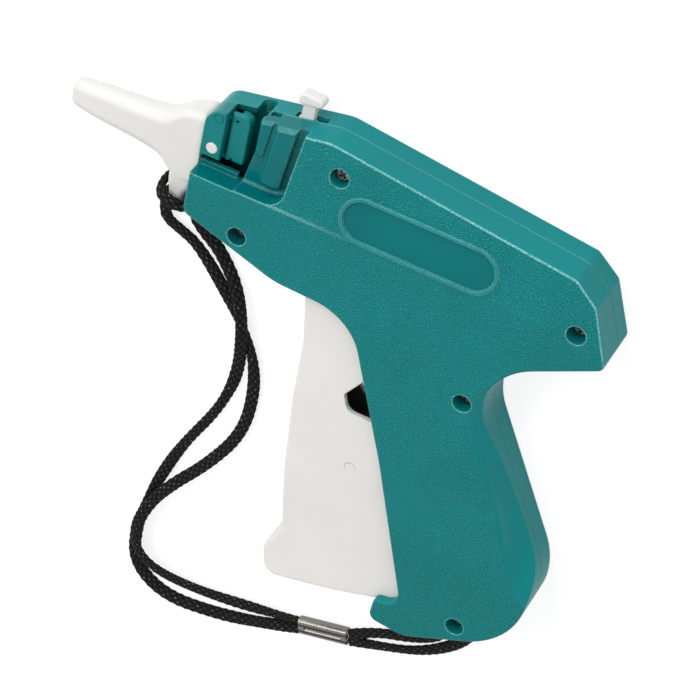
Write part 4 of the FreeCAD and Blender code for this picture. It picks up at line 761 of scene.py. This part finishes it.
# Braided polyester: matt black yarns with painted shade in the valleys between them and painted glints on a
# few yarn tops.
GLINT_MM = 0.5           # size of a painted glint on a yarn's top
GLINT_LEVEL = (0.62, 0.66)  # levels of a noise, over which glints start
ON_TOP = (0.80, 0.92)    # parts of a yarn's height, over which they may show
FIBRE_MM = 0.16          # coarser than real filaments, so that they show
GLINT_GREY = linear("#A6A6A2")
polyester, tree = new_material("braided polyester, black")
place = add_node(tree, "ShaderNodeTexCoord")
yarn = add_node(tree, "ShaderNodeAttribute", attribute_name="yarn_height")
glint_noise = add_node(tree, "ShaderNodeTexNoise", {
    "Vector": place.outputs["Object"], "Scale": 1 / (GLINT_MM * MM), "Detail": 2.0, "Roughness": 0.6})
# Painted shade: black in the valleys, lighter on the yarns' tops.
yarn_shade = add_node(tree, "ShaderNodeValToRGB", {"Fac": yarn.outputs["Fac"]})
yarn_shade.color_ramp.elements[0].position = 0.40
yarn_shade.color_ramp.elements[0].color = linear("#010101")
yarn_shade.color_ramp.elements[1].position = 0.90
yarn_shade.color_ramp.elements[1].color = linear("#232322")
# Painted glints on a few yarn tops.
glints = add_node(tree, "ShaderNodeMapRange", {
    "Value": glint_noise.outputs["Fac"], "From Min": GLINT_LEVEL[0], "From Max": GLINT_LEVEL[1]})
on_top = add_node(tree, "ShaderNodeMapRange", {
    "Value": yarn.outputs["Fac"], "From Min": ON_TOP[0], "From Max": ON_TOP[1]})
glints = add_node(tree, "ShaderNodeMath", {0: glints, 1: on_top}, operation="MULTIPLY")
colour = add_node(tree, "ShaderNodeMix", {0: glints, 6: yarn_shade.outputs["Color"], 7: GLINT_GREY},
                  data_type="RGBA")
fibres = add_node(tree, "ShaderNodeTexNoise", {
    "Vector": place.outputs["Object"], "Scale": 1 / (FIBRE_MM * MM), "Detail": 3.0})
bump = add_node(tree, "ShaderNodeBump", {
    "Height": fibres.outputs["Fac"], "Distance": 0.05 * MM, "Strength": 0.7})
rough = add_node(tree, "ShaderNodeMapRange", {
    "Value": fibres.outputs["Fac"], "To Min": 0.62, "To Max": 0.85})
cloth = add_node(tree, "ShaderNodeBsdfPrincipled", {
    "Base Color": colour.outputs[2], "Roughness": rough, "Normal": bump, "Specular IOR Level": 0.15})
add_node(tree, "ShaderNodeOutputMaterial", {"Surface": cloth})

strand_a, line_a = braid("strap_strand_a", STRAND_A, (0, 0, 1), [(16, 61, 0.4), (10, 37, 2.0)])
strand_b, line_b = braid("strap_strand_b", STRAND_B, (1, 0, 0), [(15, 53, 1.2), (10, 33, 0.3)])
end_loop, line_loop = braid("strap_loop", END_LOOP, (0, 0, 1), [(14, 47, 0.0)])
for piece in (strand_a, strand_b, end_loop):
    piece.data.materials.append(polyester)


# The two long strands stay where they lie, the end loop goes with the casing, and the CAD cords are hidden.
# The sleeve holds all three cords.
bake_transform(strand_a)
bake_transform(strand_b)
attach(end_loop, "casing")
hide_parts("strap_long")
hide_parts("strap_hitch")
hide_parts("strap_end_loop")

# The crimped sleeve is nickel-plated brass: bright, with dark tarnish left in the crimp's grooves.
SLEEVE_AT = (57.3, -179.6)  # mm
SLEEVE_TURN = 14.5       # degrees from the casing's length
CRIMP_AT = 1.25          # mm from the sleeve's middle line to each crimped groove
CRIMP_HALF = 0.75        # mm, half the width of a groove
SCUFF_MM = 0.35          # length of a scuff, which lies at a slant across the sleeve
SCUFF_PULL = 0.12        # its width over its length
TARNISH = linear("#2B2826")
plated_brass, tree = new_material("nickel-plated brass")
place = add_node(tree, "ShaderNodeTexCoord")
slanted = add_node(tree, "ShaderNodeMapping", {
    "Vector": place.outputs["Object"], "Rotation": (0.0, 0.0, math.radians(-SLEEVE_TURN)),
    "Scale": (SCUFF_PULL, 1.0, 1.0)}, vector_type="TEXTURE")
scuff = add_node(tree, "ShaderNodeTexNoise", {
    "Vector": slanted, "Scale": 1 / (SCUFF_MM * MM), "Detail": 4.0, "Roughness": 0.6})
tone = add_node(tree, "ShaderNodeValToRGB", {"Fac": scuff.outputs["Fac"]})
tone.color_ramp.elements[0].position = 0.34
tone.color_ramp.elements[0].color = linear("#3B3835")
tone.color_ramp.elements[1].position = 0.62
tone.color_ramp.elements[1].color = linear("#9C9893")
rough = add_node(tree, "ShaderNodeMapRange", {
    "Value": scuff.outputs["Fac"], "To Min": 0.14, "To Max": 0.34})
across_sleeve = add_node(tree, "ShaderNodeMapping", {
    "Vector": place.outputs["Object"], "Location": (SLEEVE_AT[0] * MM, SLEEVE_AT[1] * MM, 0.0),
    "Rotation": (0.0, 0.0, math.radians(SLEEVE_TURN))}, vector_type="TEXTURE")
across = add_node(tree, "ShaderNodeSeparateXYZ", {0: across_sleeve})
across = add_node(tree, "ShaderNodeMath", {0: across.outputs[1]}, operation="ABSOLUTE")
across = add_node(tree, "ShaderNodeMath", {0: across, 1: CRIMP_AT * MM}, operation="SUBTRACT")
across = add_node(tree, "ShaderNodeMath", {0: across}, operation="ABSOLUTE")
crimp = add_node(tree, "ShaderNodeMapRange", {
    "Value": across, "From Max": CRIMP_HALF * MM, "To Min": 1.0, "To Max": 0.0},
    interpolation_type="SMOOTHSTEP")
tarnish = add_node(tree, "ShaderNodeMix", {0: crimp, 6: tone.outputs["Color"], 7: TARNISH},
                   data_type="RGBA")
groove = add_node(tree, "ShaderNodeBump", {"Height": crimp, "Distance": 0.25 * MM, "Strength": 0.8},
                  invert=True)
bump = add_node(tree, "ShaderNodeBump", {
    "Height": scuff.outputs["Fac"], "Distance": 0.03 * MM, "Strength": 0.5, "Normal": groove})
metal = add_node(tree, "ShaderNodeBsdfPrincipled", {
    "Base Color": tarnish.outputs[2], "Metallic": 1.0, "Roughness": rough, "Normal": bump})
add_node(tree, "ShaderNodeOutputMaterial", {"Surface": metal})
dress(plated_brass, "ferrule")
